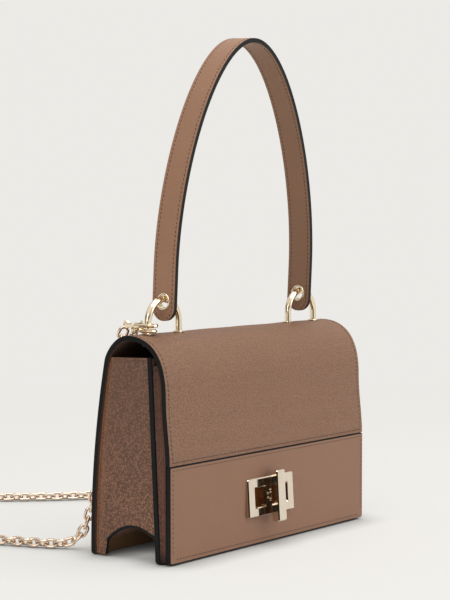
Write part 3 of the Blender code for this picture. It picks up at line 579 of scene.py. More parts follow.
def flap_line():
    """From the hinge over the crest and down to the seam."""
    line = [HINGE]
    for curve, steps in zip(FLAP_CURVES, FLAP_STEPS):
        line += bezier(*curve, steps)
    return line


def back_y(z):
    share = z / HINGE[1]
    return BACK_FOOT_Y + (HINGE[0] - BACK_FOOT_Y) * share + 4 * BACK_BOW * share * (1 - share)


def divider_y(z):
    return DIVIDER_FOOT_Y + DIVIDER_LEAN * z / DIVIDER_TOP


def skin_line():
    """Up the back, over the crest and down to the seam."""
    back = [(back_y(z), z) for z in (0.0, 0.7, 2.0, 5.0, *range(10, 137, 6))]
    end = SEAM_Z + SEAM_GAP / 2
    flap = [p for p in flap_line() if p[0] > -20 or p[1] > end]
    return back + flap + [(flap[-1][0] - 0.02, end)]


def normals_of(line):
    """Directions to the right of an outline: outward where it runs up the back and down the
    front."""
    out = []
    for index in range(len(line)):
        a = Vector(line[max(index - 1, 0)])
        b = Vector(line[min(index + 1, len(line) - 1)])
        ahead = (b - a).normalized()
        out.append(Vector((ahead.y, -ahead.x)))
    return out


def across(half, near_edge=(0.0, 0.8, 2.0, 4.5, 8.0), middle=26):
    """Places across the bag, closer together near its ends."""
    left = [-half + d for d in near_edge]
    inner = half - near_edge[-1]
    steps = [-inner + 2 * inner * k / middle for k in range(1, middle)]
    return left + steps + [-x for x in left[::-1]]


def softness(x, y, z, amount=0.28, size=34.0):
    return amount * noise.noise(Vector((x / size, y / size + 3.1, z / size)))


def edge_fade(x, reach=14.0):
    """1 in the middle of the bag, falling to 0 at its ends."""
    return min(max((HALF - abs(x)) / reach, 0.0), 1.0)


def aim(thing, forward):
    thing.rotation_mode = 'QUATERNION'
    thing.rotation_quaternion = forward.to_track_quat('-Z', 'Y')


# Camera: worked out from the straight edges of the bag in the photograph

CAMERA_PLACE = (-993.1, -767.2, 240.0)
CAMERA_TURN = math.radians(-52.0)
CAMERA_PITCH = math.radians(-2.954)
FOCAL_PIXELS = 1700.0
PHOTO_HEIGHT = 600.0


def add_camera():
    data = bpy.data.cameras.new("photo_camera")
    data.sensor_width = 36.0
    data.lens = data.sensor_width * FOCAL_PIXELS / PHOTO_HEIGHT
    camera = add_object("photo_camera", data)
    camera.location = place(*CAMERA_PLACE)
    level = math.cos(CAMERA_PITCH)
    aim(camera, Vector((-math.sin(CAMERA_TURN) * level, math.cos(CAMERA_TURN) * level,
                        math.sin(CAMERA_PITCH))))
    bpy.context.scene.camera = camera


# Chain strap: the same route as in the CAD, in millimetres of the leather body's frame

CHAIN_WIDTH = 8.0
LINK_PITCH = 6.7
LINK_LENGTH = 11.2
LINK_WIRE = 1.12
LINK_REST = 3.2
LYING_BELOW = 7.0
ON_FLOOR_Z = 4.1
HANG_FRONT = (
    (-99.5, 20, 158.4), (-99.6, 24, 151.4), (-99.8, 26.8, 144.6), (-100, 28.5, 137.5),
    (-100.2, 29.9, 129), (-100.4, 31.7, 118), (-100.8, 34.2, 103), (-101.3, 37.2, 80),
    (-102.2, 39.2, 62), (-103.6, 41.7, 50.5), (-104.8, 44.4, 40.5), (-105.3, 47.4, 30),
    (-106, 50.3, 20.5), (-107.3, 53.1, 13.6), (-109.2, 56.1, 8.9), (-111.6, 59.7, 6.1),
    (-114.7, 64.3, 4.6),
)
ON_FLOOR = (
    (-118, 70.2), (-121.3, 77.4), (-124.5, 86.3), (-128.2, 98), (-132.6, 111.5), (-138, 129),
    (-143, 151), (-146.5, 180), (-146, 214), (-135, 249), (-112, 276), (-82, 290),
    (-52, 287), (-30, 273.5), (-14.5, 258.5), (-1.5, 244.6), (11.5, 229.6), (24.5, 216),
    (38.5, 203.4), (51, 192), (63.5, 180), (73, 165), (75, 148.5), (68, 133),
    (53, 120), (33, 110), (9, 101.5), (-15, 93), (-37, 83.5), (-54, 73.5),
)
HANG_REAR = (
    (-66.5, 64.5, 4.8), (-75, 57.8, 8), (-80.2, 52.4, 14), (-83, 47.4, 24),
    (-84, 42.7, 40), (-84.9, 39.6, 58), (-85.8, 37.7, 78), (-86.9, 34.3, 103),
    (-87.8, 31.7, 118), (-88.5, 30, 128), (-89.2, 28.5, 135.5), (-89.7, 27.3, 141.6),
    (-90.3, 24.1, 148.3), (-91.2, 18.5, 154.9),
)
CHAIN_ROUTE = HANG_FRONT + tuple((x, y, ON_FLOOR_Z) for x, y in ON_FLOOR) + HANG_REAR


def smooth_route(points, steps=16):
    """A smooth curve through the points, settled on the floor where it lies low."""
    line = [Vector([value * MM for value in point]) for point in points]
    padded = [line[0] * 2 - line[1]] + line + [line[-1] * 2 - line[-2]]
    dense = [line[0]]
    for p0, p1, p2, p3 in zip(padded, padded[1:], padded[2:], padded[3:]):
        for step in range(1, steps + 1):
            t = step / steps
            dense.append(((p1 * 2) + (p2 - p0) * t + (p0 * 2 - p1 * 5 + p2 * 4 - p3) * t * t
                          + (p1 * 3 - p0 - p2 * 3 + p3) * t ** 3) / 2)
    lowered = (CHAIN_WIDTH / 2 - LINK_REST) * MM
    near_floor = 20 * MM
    return [Vector((p.x, p.y + BACK_SHIFT * MM,
                    max(p.z - lowered * max(1 - p.z / near_floor, 0), LINK_REST * MM)))
            for p in dense]


def link_centre_line(length, width, wire, steps=20):
    """A stadium-like oval, drawn in at the waist a little as a forged link is."""
    out = []
    straight = (length - width) / 2
    round_radius = width / 2 - wire
    for a in turns(steps):
        push = straight * (1 if math.cos(a) > 0 else -1) * min(abs(math.cos(a)) * 3, 1.0)
        out.append(Vector((math.cos(a) * round_radius + push, math.sin(a) * round_radius, 0)))
    return out


def make_chain():
    route = smooth_route(CHAIN_ROUTE)
    centres = spaced(route, LINK_PITCH * MM)
    oval = link_centre_line(LINK_LENGTH * MM, CHAIN_WIDTH * MM, LINK_WIRE * MM)
    bm = bmesh.new()
    normal = Vector((1, 0, 0))
    for index in range(len(centres) - 1):
        a, b = centres[index], centres[index + 1]
        ahead = (b - a).normalized()
        normal = (normal - ahead * normal.dot(ahead)).normalized()
        if (a.z + b.z) / 2 < LYING_BELOW * MM:
            upright = Vector((0, 0, 1))
            normal = (upright - ahead * upright.dot(ahead)).normalized()
        twist = math.radians(45 + 90 * (index % 2) + 9 * noise.noise(Vector((index, 0.5, 2.2))))
        sideways = ahead.cross(normal)
        wide = normal * math.cos(twist) + sideways * math.sin(twist)
        flat = ahead.cross(wide)
        turn = Matrix((ahead, wide, flat)).transposed()
        middle = (a + b) / 2
        add_tube(bm, [middle + turn @ p for p in oval], LINK_WIRE * MM, sides=8, closed=True)
    chain = finish_piece(bm, "chain_strap", [links], smooth_angle=60)
    length = sum((b - a).length for a, b in zip(route, route[1:]))
    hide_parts("chain_hang_front_clip", "chain_on_floor", "chain_hang_rear_clip")
    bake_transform(chain)
    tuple(route[0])


# Leather body


def blend_over_hinge(piece):
    """Bakes the piece's placement into its mesh."""
    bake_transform(piece)


def corner_rise(x, radius):
    """How far the lower edge of a sheet with round corners lies over its lowest line."""
    over = max(abs(x) - (HALF - radius), 0)
    return radius - math.sqrt(max(radius ** 2 - over ** 2, 0))


def foot_height(x, z, reach=5.0):
    """A height near the floor, raised towards a sheet's end so that its corner is round."""
    if z >= reach:
        return z
    low = corner_rise(x, FOOT_CORNER)
    return low + (reach - low) * z / reach


def make_skin():
    """Back, crest and upper flap, one piece of pebbled leather with its lining."""
    line = skin_line()
    columns = across(HALF, near_edge=FOOT_COLUMNS)
    rows = []
    for (y, z), n in zip(line, normals_of(line)):
        row = []
        for x in columns:
            push = softness(x, y, z) * edge_fade(x)
            row.append(place(x, y + n.x * push, foot_height(x, z) + n.y * push))
        rows.append(row)
    skin = grid_piece("flap_and_back_leather", rows,
                      [pebbled, paint, suede, pebbled, paint, painted_light_foot_suede])
    # Near the floor the back's lining takes the lighter suede, painted light where light comes in
    # under the arches.
    inside = (HALF - PAINTED_LIGHT_LINING_INSET) * MM
    for face in skin.data.polygons:
        if face.center.z < PAINTED_LIGHT_LINING_TOP * MM and abs(face.center.x) < inside:
            face.material_index = 3
    thicken(skin, SKIN, seen_from=(0, -80, 190), rounding=0.7)
    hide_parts("back_panel", "back_lining", "flap_shell", "flap_lining")
    blend_over_hinge(skin)


def make_flap_front():
    """Smooth lower panel of the flap with round corners, and the strip behind the seam."""
    top = SEAM_Z - SEAM_GAP / 2
    columns = across(HALF, near_edge=(0.0, 0.4, 1.0, 2.0, 3.3, 5.0, 9.0))
    rows = []
    for share in (0, 0.02, 0.06, 0.14, 0.3, 0.5, 0.7, 0.86, 0.95, 1):
        row = []
        for x in columns:
            low = FLOOR_LIFT + corner_rise(x, CORNER)
            z = top + (low - top) * share
            row.append(place(x, FRONT_Y + softness(x, 0, z, 0.10, 50) * edge_fade(x), z))
        rows.append(row)
    panel = grid_piece("flap_front_leather", rows, [smooth, paint, suede])
    thicken(panel, SKIN, seen_from=(0, -90, 35), rounding=0.6)
    assign(panel, "smooth_leather", "flap", "flap_front_panel")
    # A black strip behind the seam: painted shade seen through the gap.
    rows = [[place(x, FRONT_Y + 1.1, SEAM_Z + over) for x in across(HALF - 0.4, middle=8)]
            for over in (-3.5, -1.2, 0, 1.2, 3.5)]
    backing = grid_piece("seam_backing", rows, [paint, paint, paint])
    thicken(backing, 2.0, seen_from=(0, -90, 35), rounding=0.2)
    assign(backing, "smooth_leather", "flap")


def bow_z(y):
    """Height of the bowed lower edge of the gussets and the base at a depth."""
    front, middle, back = BOW_Z
    t = min(max((y - BOW_Y[0]) / (BOW_Y[1] - BOW_Y[0]), 0), 1)
    return front + (back - front) * t + 4 * (middle - (front + back) / 2) * t * (1 - t)


def flange_shift(s, z, most=2.2, rise_over=11, fall_over=18, top=30):
    """How far the fold of a gusset's flange stands back near the foot of the bag."""
    if s <= 0.8 or z >= top:
        return 0.0
    bow_end = BOW_Z[2]
    if z > bow_end:
        rise = min((z - FLOOR_LIFT) / rise_over, 1) * max(1 - (z - bow_end) / fall_over, 0)
    else:
        rise = (z - FLOOR_LIFT) / (bow_end - FLOOR_LIFT)
    return most * rise * (1 - s) / FLANGE_SHARE


def make_gusset(sign, label):
    """One end of the main compartment, with a turned flange along the back."""
    columns = (0, 0.012, 0.04, 0.1, 0.18, 0.26, 0.34, 0.42, 0.5, 0.58, 0.66, 0.74, 0.80,
               0.835, 0.86, 0.90, 0.95, 0.985, 1)
    levels = 26
    rows = []
    for k in range(levels + 1):
        share = k / levels
        row = []
        for s in columns:
            foot_y = BOW_Y[0] + GUSSET_DEPTH * s
            low = bow_z(foot_y) if foot_y < BOW_Y[1] else FLOOR_LIFT
            z = low + (GUSSET_TOP_BACK - low) * share
            front = divider_y(z) + DIVIDER_THICK + SHEET_GAP
            back = back_y(z) - SKIN * 1.02 - 0.05
            y = front + (back - front) * s + flange_shift(s, z)
            if z > HINGE[1]:
                y = min(y, back - (z - HINGE[1]) * 0.4)
            top = GUSSET_TOP_FRONT - (GUSSET_TOP_FRONT - GUSSET_TOP_BACK) * s
            z = min(z + (top - GUSSET_TOP_BACK) * share, top)
            near = min(s, 1 - s) * (back - front)
            x = GUSSET_X - 0.7 * max(1 - near / 5.0, 0) ** 2
            x += softness(y, 7 * sign, z, 0.25, 26)
            row.append(place(sign * min(x, GUSSET_OUTMOST), y, z))
        rows.append(row)
    piece = grid_piece("gusset_leather_" + label, rows, [side, paint, suede])
    # How strongly each point takes the painted highlight along the back flange.
    painted_hem_highlight = piece.data.attributes.new("painted_hem_highlight", 'FLOAT', 'POINT')
    for index in range(len(piece.data.vertices)):
        s = columns[index % len(columns)]
        painted_hem_highlight.data[index].value = min(max((s - PAINTED_HIGHLIGHT_START) / PAINTED_HIGHLIGHT_FADE, 0.0), 1.0)
    thicken(piece, GUSSET_THICK, seen_from=(sign * 200, 0, 80), rounding=0.6)
    assign(piece, "gusset_leather", "bag_body", "gusset_" + label)


def make_arch_binding(sign, label):
    """Thick black paint along the cut edge under a gusset, and down its flange."""
    x = sign * (GUSSET_X - 1.0)
    bm = bmesh.new()
    over = [place(x, y, bow_z(y) + 0.5) for y in BOW_PLACES]
    add_tube(bm, over, 1.25 * MM, sides=12)
    leg = [place(x, 22.4, z) for z in (bow_z(22.0) + 0.3, 6.0, 1.8)]
    add_tube(bm, leg, 0.75 * MM, sides=10)
    piece = finish_piece(bm, "arch_binding_" + label, [paint])
    assign(piece, "gusset_leather", "bag_body")


def make_divider():
    """Wall between the main compartment and the pocket, standing on the floor."""
    columns = across(HALF, near_edge=(0.0, 0.76, 2.6, 8.0), middle=12)
    rows = [[place(x, divider_y(z), foot_height(x, z)) for x in columns]
            for z in (0.0, 6, 20, 40, 60, 80, 100, 120, 132, 138, 140.6, DIVIDER_TOP)]
    piece = grid_piece("divider_leather", rows, [side, paint, suede])
    edge = thicken(piece, DIVIDER_THICK, seen_from=(0, -100, 80), rounding=1.3)
    edge.loop_slide = False
    assign(piece, "pebbled_leather", "bag_body", "divider_panel")


def pocket_y(z):
    """Front face of the pocket wall: the flap's outer line, set back behind its lining."""
    line = flap_line() + [(FRONT_Y, 0.0)]
    for a, b in zip(line, line[1:]):
        if a[0] < 0 and b[1] <= z <= a[1]:
            break
    share = (a[1] - z) / max(a[1] - b[1], 1e-6)
    return a[0] + (b[0] - a[0]) * share + POCKET_SETBACK


def make_pocket_wall():
    """Front wall of the pocket, with the opening for the keeper plate."""
    keeper_low, keeper_high = (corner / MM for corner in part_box("keeper_plate"))
    left, right = keeper_low.x - KEEPER_PLAY, keeper_high.x + KEEPER_PLAY
    low, high = keeper_low.z - KEEPER_PLAY, keeper_high.z + KEEPER_PLAY
    columns = sorted([*across(INNER_HALF, middle=14), left, right])
    heights = sorted([FLOOR_LIFT, 2.0, 5, 10, low, 30, 40, high, 62, 70, 80, 90, 100, 110, 120,
                      125.5, 127.0])
    rows = [[place(x, pocket_y(z), z) for x in columns] for z in heights]
    piece = grid_piece(
        "pocket_leather", rows, [smooth, paint, suede],
        skip=lambda i, j: low <= heights[i] < high and left <= columns[j] < right)
    thicken(piece, 1.5, seen_from=(60, -100, 80), rounding=0.4)
    assign(piece, "smooth_leather", "bag_body", "pocket_front")


def make_pocket_gusset(sign, label):
    """Narrow gusset of the pocket, folded in along its middle."""
    rows = []
    for k in range(31):
        z = FLOOR_LIFT + (POCKET_GUSSET_TOP - FLOOR_LIFT) * k / 30
        front, back = pocket_y(z) + 0.2, divider_y(z) - SHEET_GAP
        row = []
        for s in (0, 0.06, 0.15, 0.3, 0.45, 0.6, 0.75, 0.9, 1):
            fold = 1.9 * math.sin(math.pi * s) ** 1.2
            row.append(place(sign * (GUSSET_X + 0.3 - fold), front + (back - front) * s, z))
        rows.append(row)
    piece = grid_piece("pocket_gusset_leather_" + label, rows, [fold_leather, paint, suede])
    thicken(piece, 1.4, seen_from=(sign * 200, -30, 80), rounding=0.3)
    assign(piece, "gusset_leather", "bag_body", "pocket_gusset_" + label)


def make_pocket_base():
    rows = [[place(x, y, 1.25) for x in across(INNER_HALF, middle=8)]
            for y in (-30.3, -29.2, -28.2, -27.2)]
    piece = grid_piece("pocket_base_leather", rows, [side, paint, suede])
    thicken(piece, 2.0, seen_from=(0, -28, -50), rounding=0.4)
    assign(piece, "gusset_leather", "bag_body", "pocket_base")


def make_base():
    """Bowed bottom of the main compartment, with a level strip towards the back."""
    columns = across(INNER_HALF, middle=20)
    rows = [[place(x, y, bow_z(y) + SHEET_GAP + softness(x, y, 0, 0.4, 40)) for x in columns]
            for y in BOW_PLACES]
    rows += [[place(x, y, 12.1) for x in columns] for y in (26.0, 32.2)]
    piece = grid_piece("base_leather", rows, [side, paint, suede])
    thicken(piece, 2.4, seen_from=(0, 0, -60), rounding=0.4)
    assign(piece, "gusset_leather", "bag_body", "base_panel")


# Handle


def strap_path():
    """The strap's outer line as (x, height over the pivot, half width)."""
    end, straight, top = (z - PIVOT_Z for z in (STRAP_END, STRAP_STRAIGHT, STRAP_TOP))
    path = []
    for step in range(1, 13):
        a = math.pi / 2 * step / 12
        path.append((-STRAP_OUTER, end + STRAP_HALF * (1 - math.cos(a)),
                     STRAP_HALF * math.sin(a)))
    for z in (1.0, 6.0, 11.0, 16.0, straight):
        path.append((-STRAP_OUTER, z, STRAP_HALF))
    crown = bezier((-STRAP_OUTER, straight), (-STRAP_OUTER, straight + STRAP_PULL[0]),
                   (-STRAP_PULL[1], top), (0.0, top), 40)
    path += [(x, z, STRAP_HALF) for x, z in crown]
    return path + [(-x, z, w) for x, z, w in path[-2::-1]]


def strap_frames():
    """Middle points of the strap with their outward normals and half widths."""
    path = strap_path()
    inward = normals_of([(x, z) for x, z, wide in path])
    return [(Vector((x, z)) + n * (STRAP_THICK / 2), -n, wide)
            for (x, z, wide), n in zip(path, inward)]


def handle_point(x, y, z):
    """A point of the handle's own upright frame, leaned forward as the handle stands."""
    c, s = math.cos(STRAP_LEAN), math.sin(STRAP_LEAN)
    return place(x, ARCH_Y + y * c - z * s, PIVOT_Z + y * s + z * c)


def handle_normal(x, z):
    c, s = math.cos(STRAP_LEAN), math.sin(STRAP_LEAN)
    return Vector((x, -z * s, z * c))


def bore_holes(strap):
    """Cuts the round hole of each eyelet out of the strap's sheet."""
    bm = bmesh.new()
    bm.from_mesh(strap.data)
    end_reach, layer_reach, sides = 22 * MM, 8 * MM, 16
    for sign, label in SIDES:
        low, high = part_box("eyelet_" + label)
        centre = (low + high) / 2
        radius = EYELET_BORE * MM
        for a in turns(sides):
            near = [f for f in bm.faces
                    if (f.calc_center_median() - centre).length < end_reach
                    and abs(f.calc_center_median().x - centre.x) < layer_reach]
            parts = set(near)
            for face in near:
                parts.update(face.edges)
                parts.update(face.verts)
            out = Vector((0, math.cos(a), math.sin(a)))
            bmesh.ops.bisect_plane(bm, geom=list(parts), plane_co=centre + out * radius,
                                   plane_no=out)
        inside = [f for f in bm.faces
                  if abs(f.calc_center_median().x - centre.x) < layer_reach
                  and (f.calc_center_median() - centre).yz.length < radius * 0.99]
        bmesh.ops.delete(bm, geom=inside, context='FACES')
    bm.normal_update()
    bm.to_mesh(strap.data)
    bm.free()
    strap.data.shade_smooth()


def make_handle():
    """Strap with its two layers as one sheet, and rows of stitches along its edges."""
    frames = strap_frames()
    columns = (-1, -0.94, -0.86, -0.72, -0.5, -0.25, 0, 0.25, 0.5, 0.72, 0.86, 0.94, 1)
    rows = [[handle_point(centre.x, wide * c, centre.y) for c in columns]
            for centre, outward, wide in frames]
    strap = grid_piece("strap_leather_layers", rows, [strap_skin, paint, strap_lining_and_shade])
    face_towards(strap, (0, 0, 500))
    bore_holes(strap)
    thicken(strap, STRAP_THICK, rounding=0.7)
    assign(strap, "strap_leather", "handle", "handle_strap", "handle_lining")
    lines = []
    inset, least = 2.3, 2.2
    for sign in (-1, 1):
        for face in (-1, 1):
            line = []
            for centre, outward, wide in frames:
                reach = wide - inset
                if reach < least:
                    continue
                point = centre + outward * (face * STRAP_THICK / 2)
                line.append((handle_point(point.x, sign * reach, point.y),
                             handle_normal(outward.x * face, outward.y * face)))
            lines.append(line)
    seam = stitches("strap_stitches", lines)
    assign(seam, "strap_leather", "handle")


# Stitches on the body


def stitch_body():
    """Rows of stitches along the panels' edges."""
    inset = 2.9
    line = skin_line()
    sewn = list(zip(line, normals_of(line)))[2:-1]
    rows = [[(place(sign * (HALF - inset), y, z), Vector((0, n.x, n.y))) for (y, z), n in sewn]
            for sign in (-1, 1)]
    piece = stitches("flap_edge_stitches", rows)
    blend_over_hinge(piece)

    front = Vector((0, -1, 0))
    seam_rows = []
    seam_inset = 2.7
    for z, y in ((SEAM_Z + seam_inset, -35.9), (SEAM_Z - seam_inset, FRONT_Y)):
        seam_rows.append([(place(x, y, z), front) for x in (-HALF + 2.4, HALF - 2.4)])
    for sign in (-1, 1):
        x = sign * (HALF - inset)
        seam_rows.append([(place(x, FRONT_Y, z), front) for z in (SEAM_Z - 4.2, 8.0)])
    seam_rows.append([(place(x, FRONT_Y, FLOOR_LIFT + inset), front)
                      for x in (-HALF + 6.5, HALF - 6.5)])
    piece = stitches("flap_front_stitches", seam_rows)
    assign(piece, "smooth_leather", "flap")

    heights = [4, 12] + [22 + 115 * k / 20 for k in range(21)]
    for sign, label in SIDES:
        out = Vector((sign, 0, 0))
        x = sign * (GUSSET_X + 0.05)
        rows = [
            [(place(x, back_y(z) - SKIN - 2.6, z), out) for z in heights],
            [(place(x, y, 138.2), out) for y in (-13.0, 15.5)],
        ]
        piece = stitches("gusset_stitches_" + label, rows, used=tonal_side, thick=0.6)
        assign(piece, "gusset_leather", "bag_body")


# Hardware


def make_arch(sign, label):
    """Wire arch with a collar round each foot."""
    centre = sign * ARCH_X
    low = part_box("handle_arch_" + label)[0].z / MM
    leg = (low, 152.0, CREST + 3, ARCH_SPRING)
    points = [place(centre - ARCH_RADIUS, ARCH_Y, z) for z in leg]
    for k in range(1, 40):
        a = math.pi * (1 - k / 40)
        points.append(place(centre + ARCH_RADIUS * math.cos(a), ARCH_Y,
                            ARCH_SPRING + ARCH_RADIUS * math.sin(a)))
    points += [place(centre + ARCH_RADIUS, ARCH_Y, z) for z in leg[::-1]]
    bm = bmesh.new()
    add_tube(bm, points, ARCH_WIRE * MM, sides=20)
    collar = ((2.3, 0.2), (3.8, 0.2), (4.0, 0.35), (4.0, 0.55), (3.7, 0.8), (2.3, 0.8))
    for x in (centre - ARCH_RADIUS, centre + ARCH_RADIUS):
        add_turned(bm, place(x, ARCH_Y, CREST), Vector((0, 0, 1)), collar)
    piece = finish_piece(bm, "arch_wire_" + label, [metal])
    assign(piece, "gold_hardware", "flap", "handle_arch_" + label)


def make_eyelet(label):
    """Eyelet through the strap: a rolled flange on each face and a barrel between."""
    low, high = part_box("eyelet_" + label)
    centre = (low + high) / 2
    half = STRAP_THICK / 2
    middle = EYELET_RADIUS - EYELET_ROLL
    profile = []
    for face in (1, -1):
        arc = [(middle + EYELET_ROLL * math.cos(a), half + 0.05 + EYELET_ROLL * math.sin(a))
               for a in (math.pi * k / 8 for k in range(9))]
        profile += [(r, h * face) for r, h in (arc if face == 1 else arc[::-1])]
    bm = bmesh.new()
    add_turned(bm, centre, Vector((1, 0, 0)), profile, sides=40)
    piece = finish_piece(bm, "eyelet_ring_" + label, [metal])
    assign(piece, "gold_hardware", "handle", "eyelet_" + label)


def dress_hardware():
    """Gold for the metal nodes that keep their shape; those hidden inside the bag are dark, as
    painted shade.
    """
    for name, node in frame["nodes"].items():
        if node.hide_render:
            continue
        node.data.materials.clear()
        # Anchors, nuts, back plate and rivets hidden inside the bag are made dark: painted shade.
        inner = name.startswith(("arch_anchor", "arch_nut", "lock_backplate", "lock_rivet"))
        node.data.materials.append(painted_shade_metal if inner else metal)


def lock_point(x, y, z):
    """A point of the lock's own frame, whose y runs into the bag."""
    c, s = math.cos(LOCK_TILT), math.sin(LOCK_TILT)
    return place(LOCK_PLACE[0] + x, LOCK_PLACE[1] + y * c + z * s, LOCK_PLACE[2] - y * s + z * c)


def bore_bridge(plate, sides=16):
    """Fills the plate's middle between its windows, with a hole for the spindle."""
    bm = bmesh.new()
    bm.from_mesh(plate.data)
    bm.verts.ensure_lookup_table()
    corners = [bm.verts[index] for index in BRIDGE_CORNERS]
    radius = SPINDLE_RADIUS + SPINDLE_PLAY
    hole = [bm.verts.new(lock_point(math.cos(a) * radius, 0, math.sin(a) * radius))
            for a in turns(sides, 0.5)]
    for index in range(sides):
        after = (index + 1) % sides
        near, far = index * 4 // sides, after * 4 // sides
        ring = [corners[near], hole[index], hole[after]]
        bm.faces.new(ring if near == far else ring + [corners[far]])
    bmesh.ops.recalc_face_normals(bm, faces=bm.faces)
    bm.to_mesh(plate.data)
    bm.free()


def make_lock():
    """Lock plate with two windows and chamfered edges, and the turn bar on its spindle."""
    wide, high = PLATE_HALF
    inner, outer, rail = PLATE_WINDOW
    rows = [[lock_point(x, 0, z) for x in (-wide, -outer, -inner, inner, outer, wide)]
            for z in (-high, -rail, rail, high)]
    plate = grid_piece("lock_plate_face", rows, [lock_metal],
                       skip=lambda i, j: i == 1 and j in (1, 2, 3))
    bore_bridge(plate)
    edge = thicken(plate, PLATE_THICK, seen_from=(-5, -90, 35), rounding=PLATE_CHAMFER, rim=0,
                   inner=0)
    edge.segments = 1
    edge.harden_normals = False
    plate.data.shade_flat()
    assign(plate, "gold_hardware", "flap", "lock_plate")

    bm = bmesh.new()
    middle = -BAR_STANDOFF - BAR_HALF[1]
    made = bmesh.ops.create_cube(bm, size=2.0)
    for vert in made["verts"]:
        vert.co = lock_point(vert.co.x * BAR_HALF[0], middle + vert.co.y * BAR_HALF[1],
                             vert.co.z * BAR_HALF[2])
    # The bar's back face, towards the plate, takes the dark suede: painted shade under the bar.
    for face in bm.faces:
        if (face.calc_center_median() - lock_point(0, middle + BAR_HALF[1], 0)).length < 0.1 * MM:
            face.material_index = 1
    axis = lock_point(0, 1, 0) - lock_point(0, 0, 0)
    collar = ((0.3, -0.2), (COLLAR_RADIUS, -0.2), (COLLAR_RADIUS, -3.6), (0.3, -3.6))
    spindle = ((0.3, -0.2), (SPINDLE_RADIUS, -0.2), (SPINDLE_RADIUS, SPINDLE_REACH),
               (0.3, SPINDLE_REACH))
    for profile in (collar, spindle):
        add_turned(bm, lock_point(0, 0, 0), axis, profile)
    bar = finish_piece(bm, "turn_bar_metal", [lock_metal, suede])
    for polygon in bar.data.polygons:
        polygon.use_smooth = polygon.index >= 6
    round_edges(bar, BAR_CHAMFER, 1)
    assign(bar, "gold_hardware", "turn_lock", "turn_bar")


def painted_shade_lock_floor():
    """Polished floor inside the lock plate's windows, dark brown as painted shade of the recess.
    """
    low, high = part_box("lock_plate")
    middle = (low + high) / 2 / MM
    n = Nodes("painted_shade_lock_floor")
    # Dark browns: painted shade behind the windows.
    n.set(Base_Color=n.mix(n.noise(n.where(), 120.0, 2.0), srgb(52, 24, 7), srgb(122, 68, 24)),
          Roughness=0.25, Metallic=0.6)
    bm = bmesh.new()
    corners = [(-20.0, -8.0), (20.0, -8.0), (20.0, 8.0), (-20.0, 8.0)]
    back, front = [[bm.verts.new(place(middle.x + x, FRONT_Y - 0.05 - depth, middle.z + z))
                    for x, z in corners] for depth in (0.0, 0.35)]
    bm.faces.new(back)
    bm.faces.new(front[::-1])
    add_band(bm, back, front)
    piece = finish_piece(bm, "lock_window_floor", [n.owner])
    assign(piece, "gold_hardware", "flap")


# Floor, backdrop and light

BACKDROP = srgb(236, 234, 230)


def make_floor():
    """Paper floor: the backdrop's plain tone where it is seen, darkened close to the bag only,
    mostly by painted shadow from occlusion and partly by the lamps.
    """
    bm = bmesh.new()
    bmesh.ops.create_grid(bm, x_segments=1, y_segments=1, size=16.0)
    mesh = bpy.data.meshes.new("floor")
    bm.to_mesh(mesh)
    bm.free()
    floor = add_object("floor", mesh)
    floor.location = (0, 0, -0.0002)
    n = Nodes("floor_paper")
    n.set(Base_Color=srgb(238, 237, 234), Roughness=0.8, Specular_IOR_Level=0.1)
    where = n.where()
    apart = n.add("ShaderNodeVectorMath", {0: where}, operation='LENGTH').outputs["Value"]
    near = n.span(apart, 0.45, 1.2, 0.30, 0.0)
    # Painted shadow: occlusion darkens the floor's glow close to the bag.
    shade = n.times(n.math('POWER', n.occlusion(0.026, 16), 1.4),
                    n.math('POWER', n.occlusion(0.12, 16), 0.05))
    glow = n.add("ShaderNodeEmission", {"Color": BACKDROP, "Strength": shade})
    path = n.add("ShaderNodeLightPath").outputs
    seen = n.math('MAXIMUM', path["Is Camera Ray"], path["Is Glossy Ray"])
    lit = n.math('SUBTRACT', 1.0, n.times(seen, n.math('SUBTRACT', 1.0, near)))
    blended = n.add("ShaderNodeMixShader", {0: lit, 1: glow.outputs[0],
                                            2: n.shader.outputs[0]})
    # Painted reflection: in one sector beyond about 14 cm from the bag's middle, glossy rays see
    # the floor nearly black.
    spot = n.add("ShaderNodeSeparateXYZ", {0: where}).outputs
    bearing = n.math('ARCTAN2', spot["Y"], spot["X"])
    sector = n.flag(bearing, math.radians(-131), 0.28, 0.14)
    beyond = n.span(apart, 0.12, 0.16)
    mirrored = n.times(path["Is Glossy Ray"], n.times(sector, beyond))
    painted_dark_reflection = n.add("ShaderNodeEmission", {"Color": (0.02, 0.018, 0.015, 1.0)})
    whole = n.add("ShaderNodeMixShader", {0: mirrored, 1: blended.outputs[0],
                                          2: painted_dark_reflection.outputs[0]})
    n.fill(n.tree.nodes["Material Output"].inputs["Surface"], whole.outputs[0])
    mesh.materials.append(n.owner)


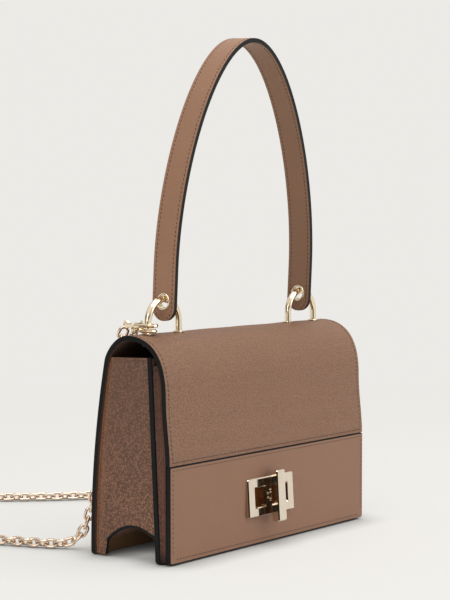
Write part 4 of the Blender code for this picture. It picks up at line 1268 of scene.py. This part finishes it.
def make_studio():
    """Bright room with dark fields that only glossy surfaces reflect, and three lamps."""
    w = Nodes("studio", world=True)
    bpy.context.scene.world = w.owner
    way = w.add("ShaderNodeTexCoord").outputs["Generated"]
    way = w.add("ShaderNodeSeparateXYZ", {0: way}).outputs
    turn = w.math('ARCTAN2', way["Y"], way["X"])
    # Dark fields: a band over the horizon, one behind the camera and one at the bag's left
    band = w.flag(way["Z"], 0.27, 0.07, 0.08)
    behind = w.times(w.flag(turn, math.radians(-142), 0.20, 0.12),
                     w.flag(way["Z"], 0.10, 0.30, 0.15))
    left = w.times(w.flag(turn, math.radians(150), 0.26, 0.20),
                   w.flag(way["Z"], 0.10, 0.35, 0.20))
    dark = w.times(band, 0.80)
    for field, depth in ((behind, 0.95), (left, 0.90)):
        dark = w.math('MAXIMUM', dark, w.times(field, depth))
    path = w.add("ShaderNodeLightPath").outputs
    seen = w.math('MAXIMUM', path["Is Camera Ray"], path["Is Glossy Ray"])
    strength = w.span(seen, 0.0, 1.0, 0.56, 1.0)
    shown = w.math('SUBTRACT', 1.0, w.times(dark, path["Is Glossy Ray"]))
    w.set(Color=BACKDROP, Strength=w.times(strength, shown))
    softbox("top_light", (0.2, -0.4, 2.0), (0, 0, 0.1), size=(1.8, 1.8), power=28.0)
    softbox("front_light", (1.3, -2.0, 1.1), (0, 0, 0.15), size=(1.4, 1.4), power=18.0)
    softbox("left_light", (-1.9, -0.3, 0.9), (0, 0, 0.02), size=(1.2, 1.0), power=7.0)


def softbox(name, location, target, size, power):
    light = bpy.data.lights.new(name, 'AREA')
    light.shape = 'RECTANGLE'
    light.size, light.size_y = size
    light.energy = power
    holder = add_object(name, light)
    holder.location = location
    aim(holder, Vector(target) - Vector(location))


add_camera()
make_chain()
make_skin()
make_flap_front()
for sign, label in SIDES:
    make_gusset(sign, label)
    make_arch_binding(sign, label)
    make_arch(sign, label)
    make_eyelet(label)
make_divider()
make_pocket_wall()
for sign, label in SIDES:
    make_pocket_gusset(sign, label)
make_pocket_base()
make_base()
make_handle()
stitch_body()
make_lock()
painted_shade_lock_floor()
dress_hardware()
make_floor()
make_studio()

bpy.context.scene.view_settings.view_transform = 'Standard'
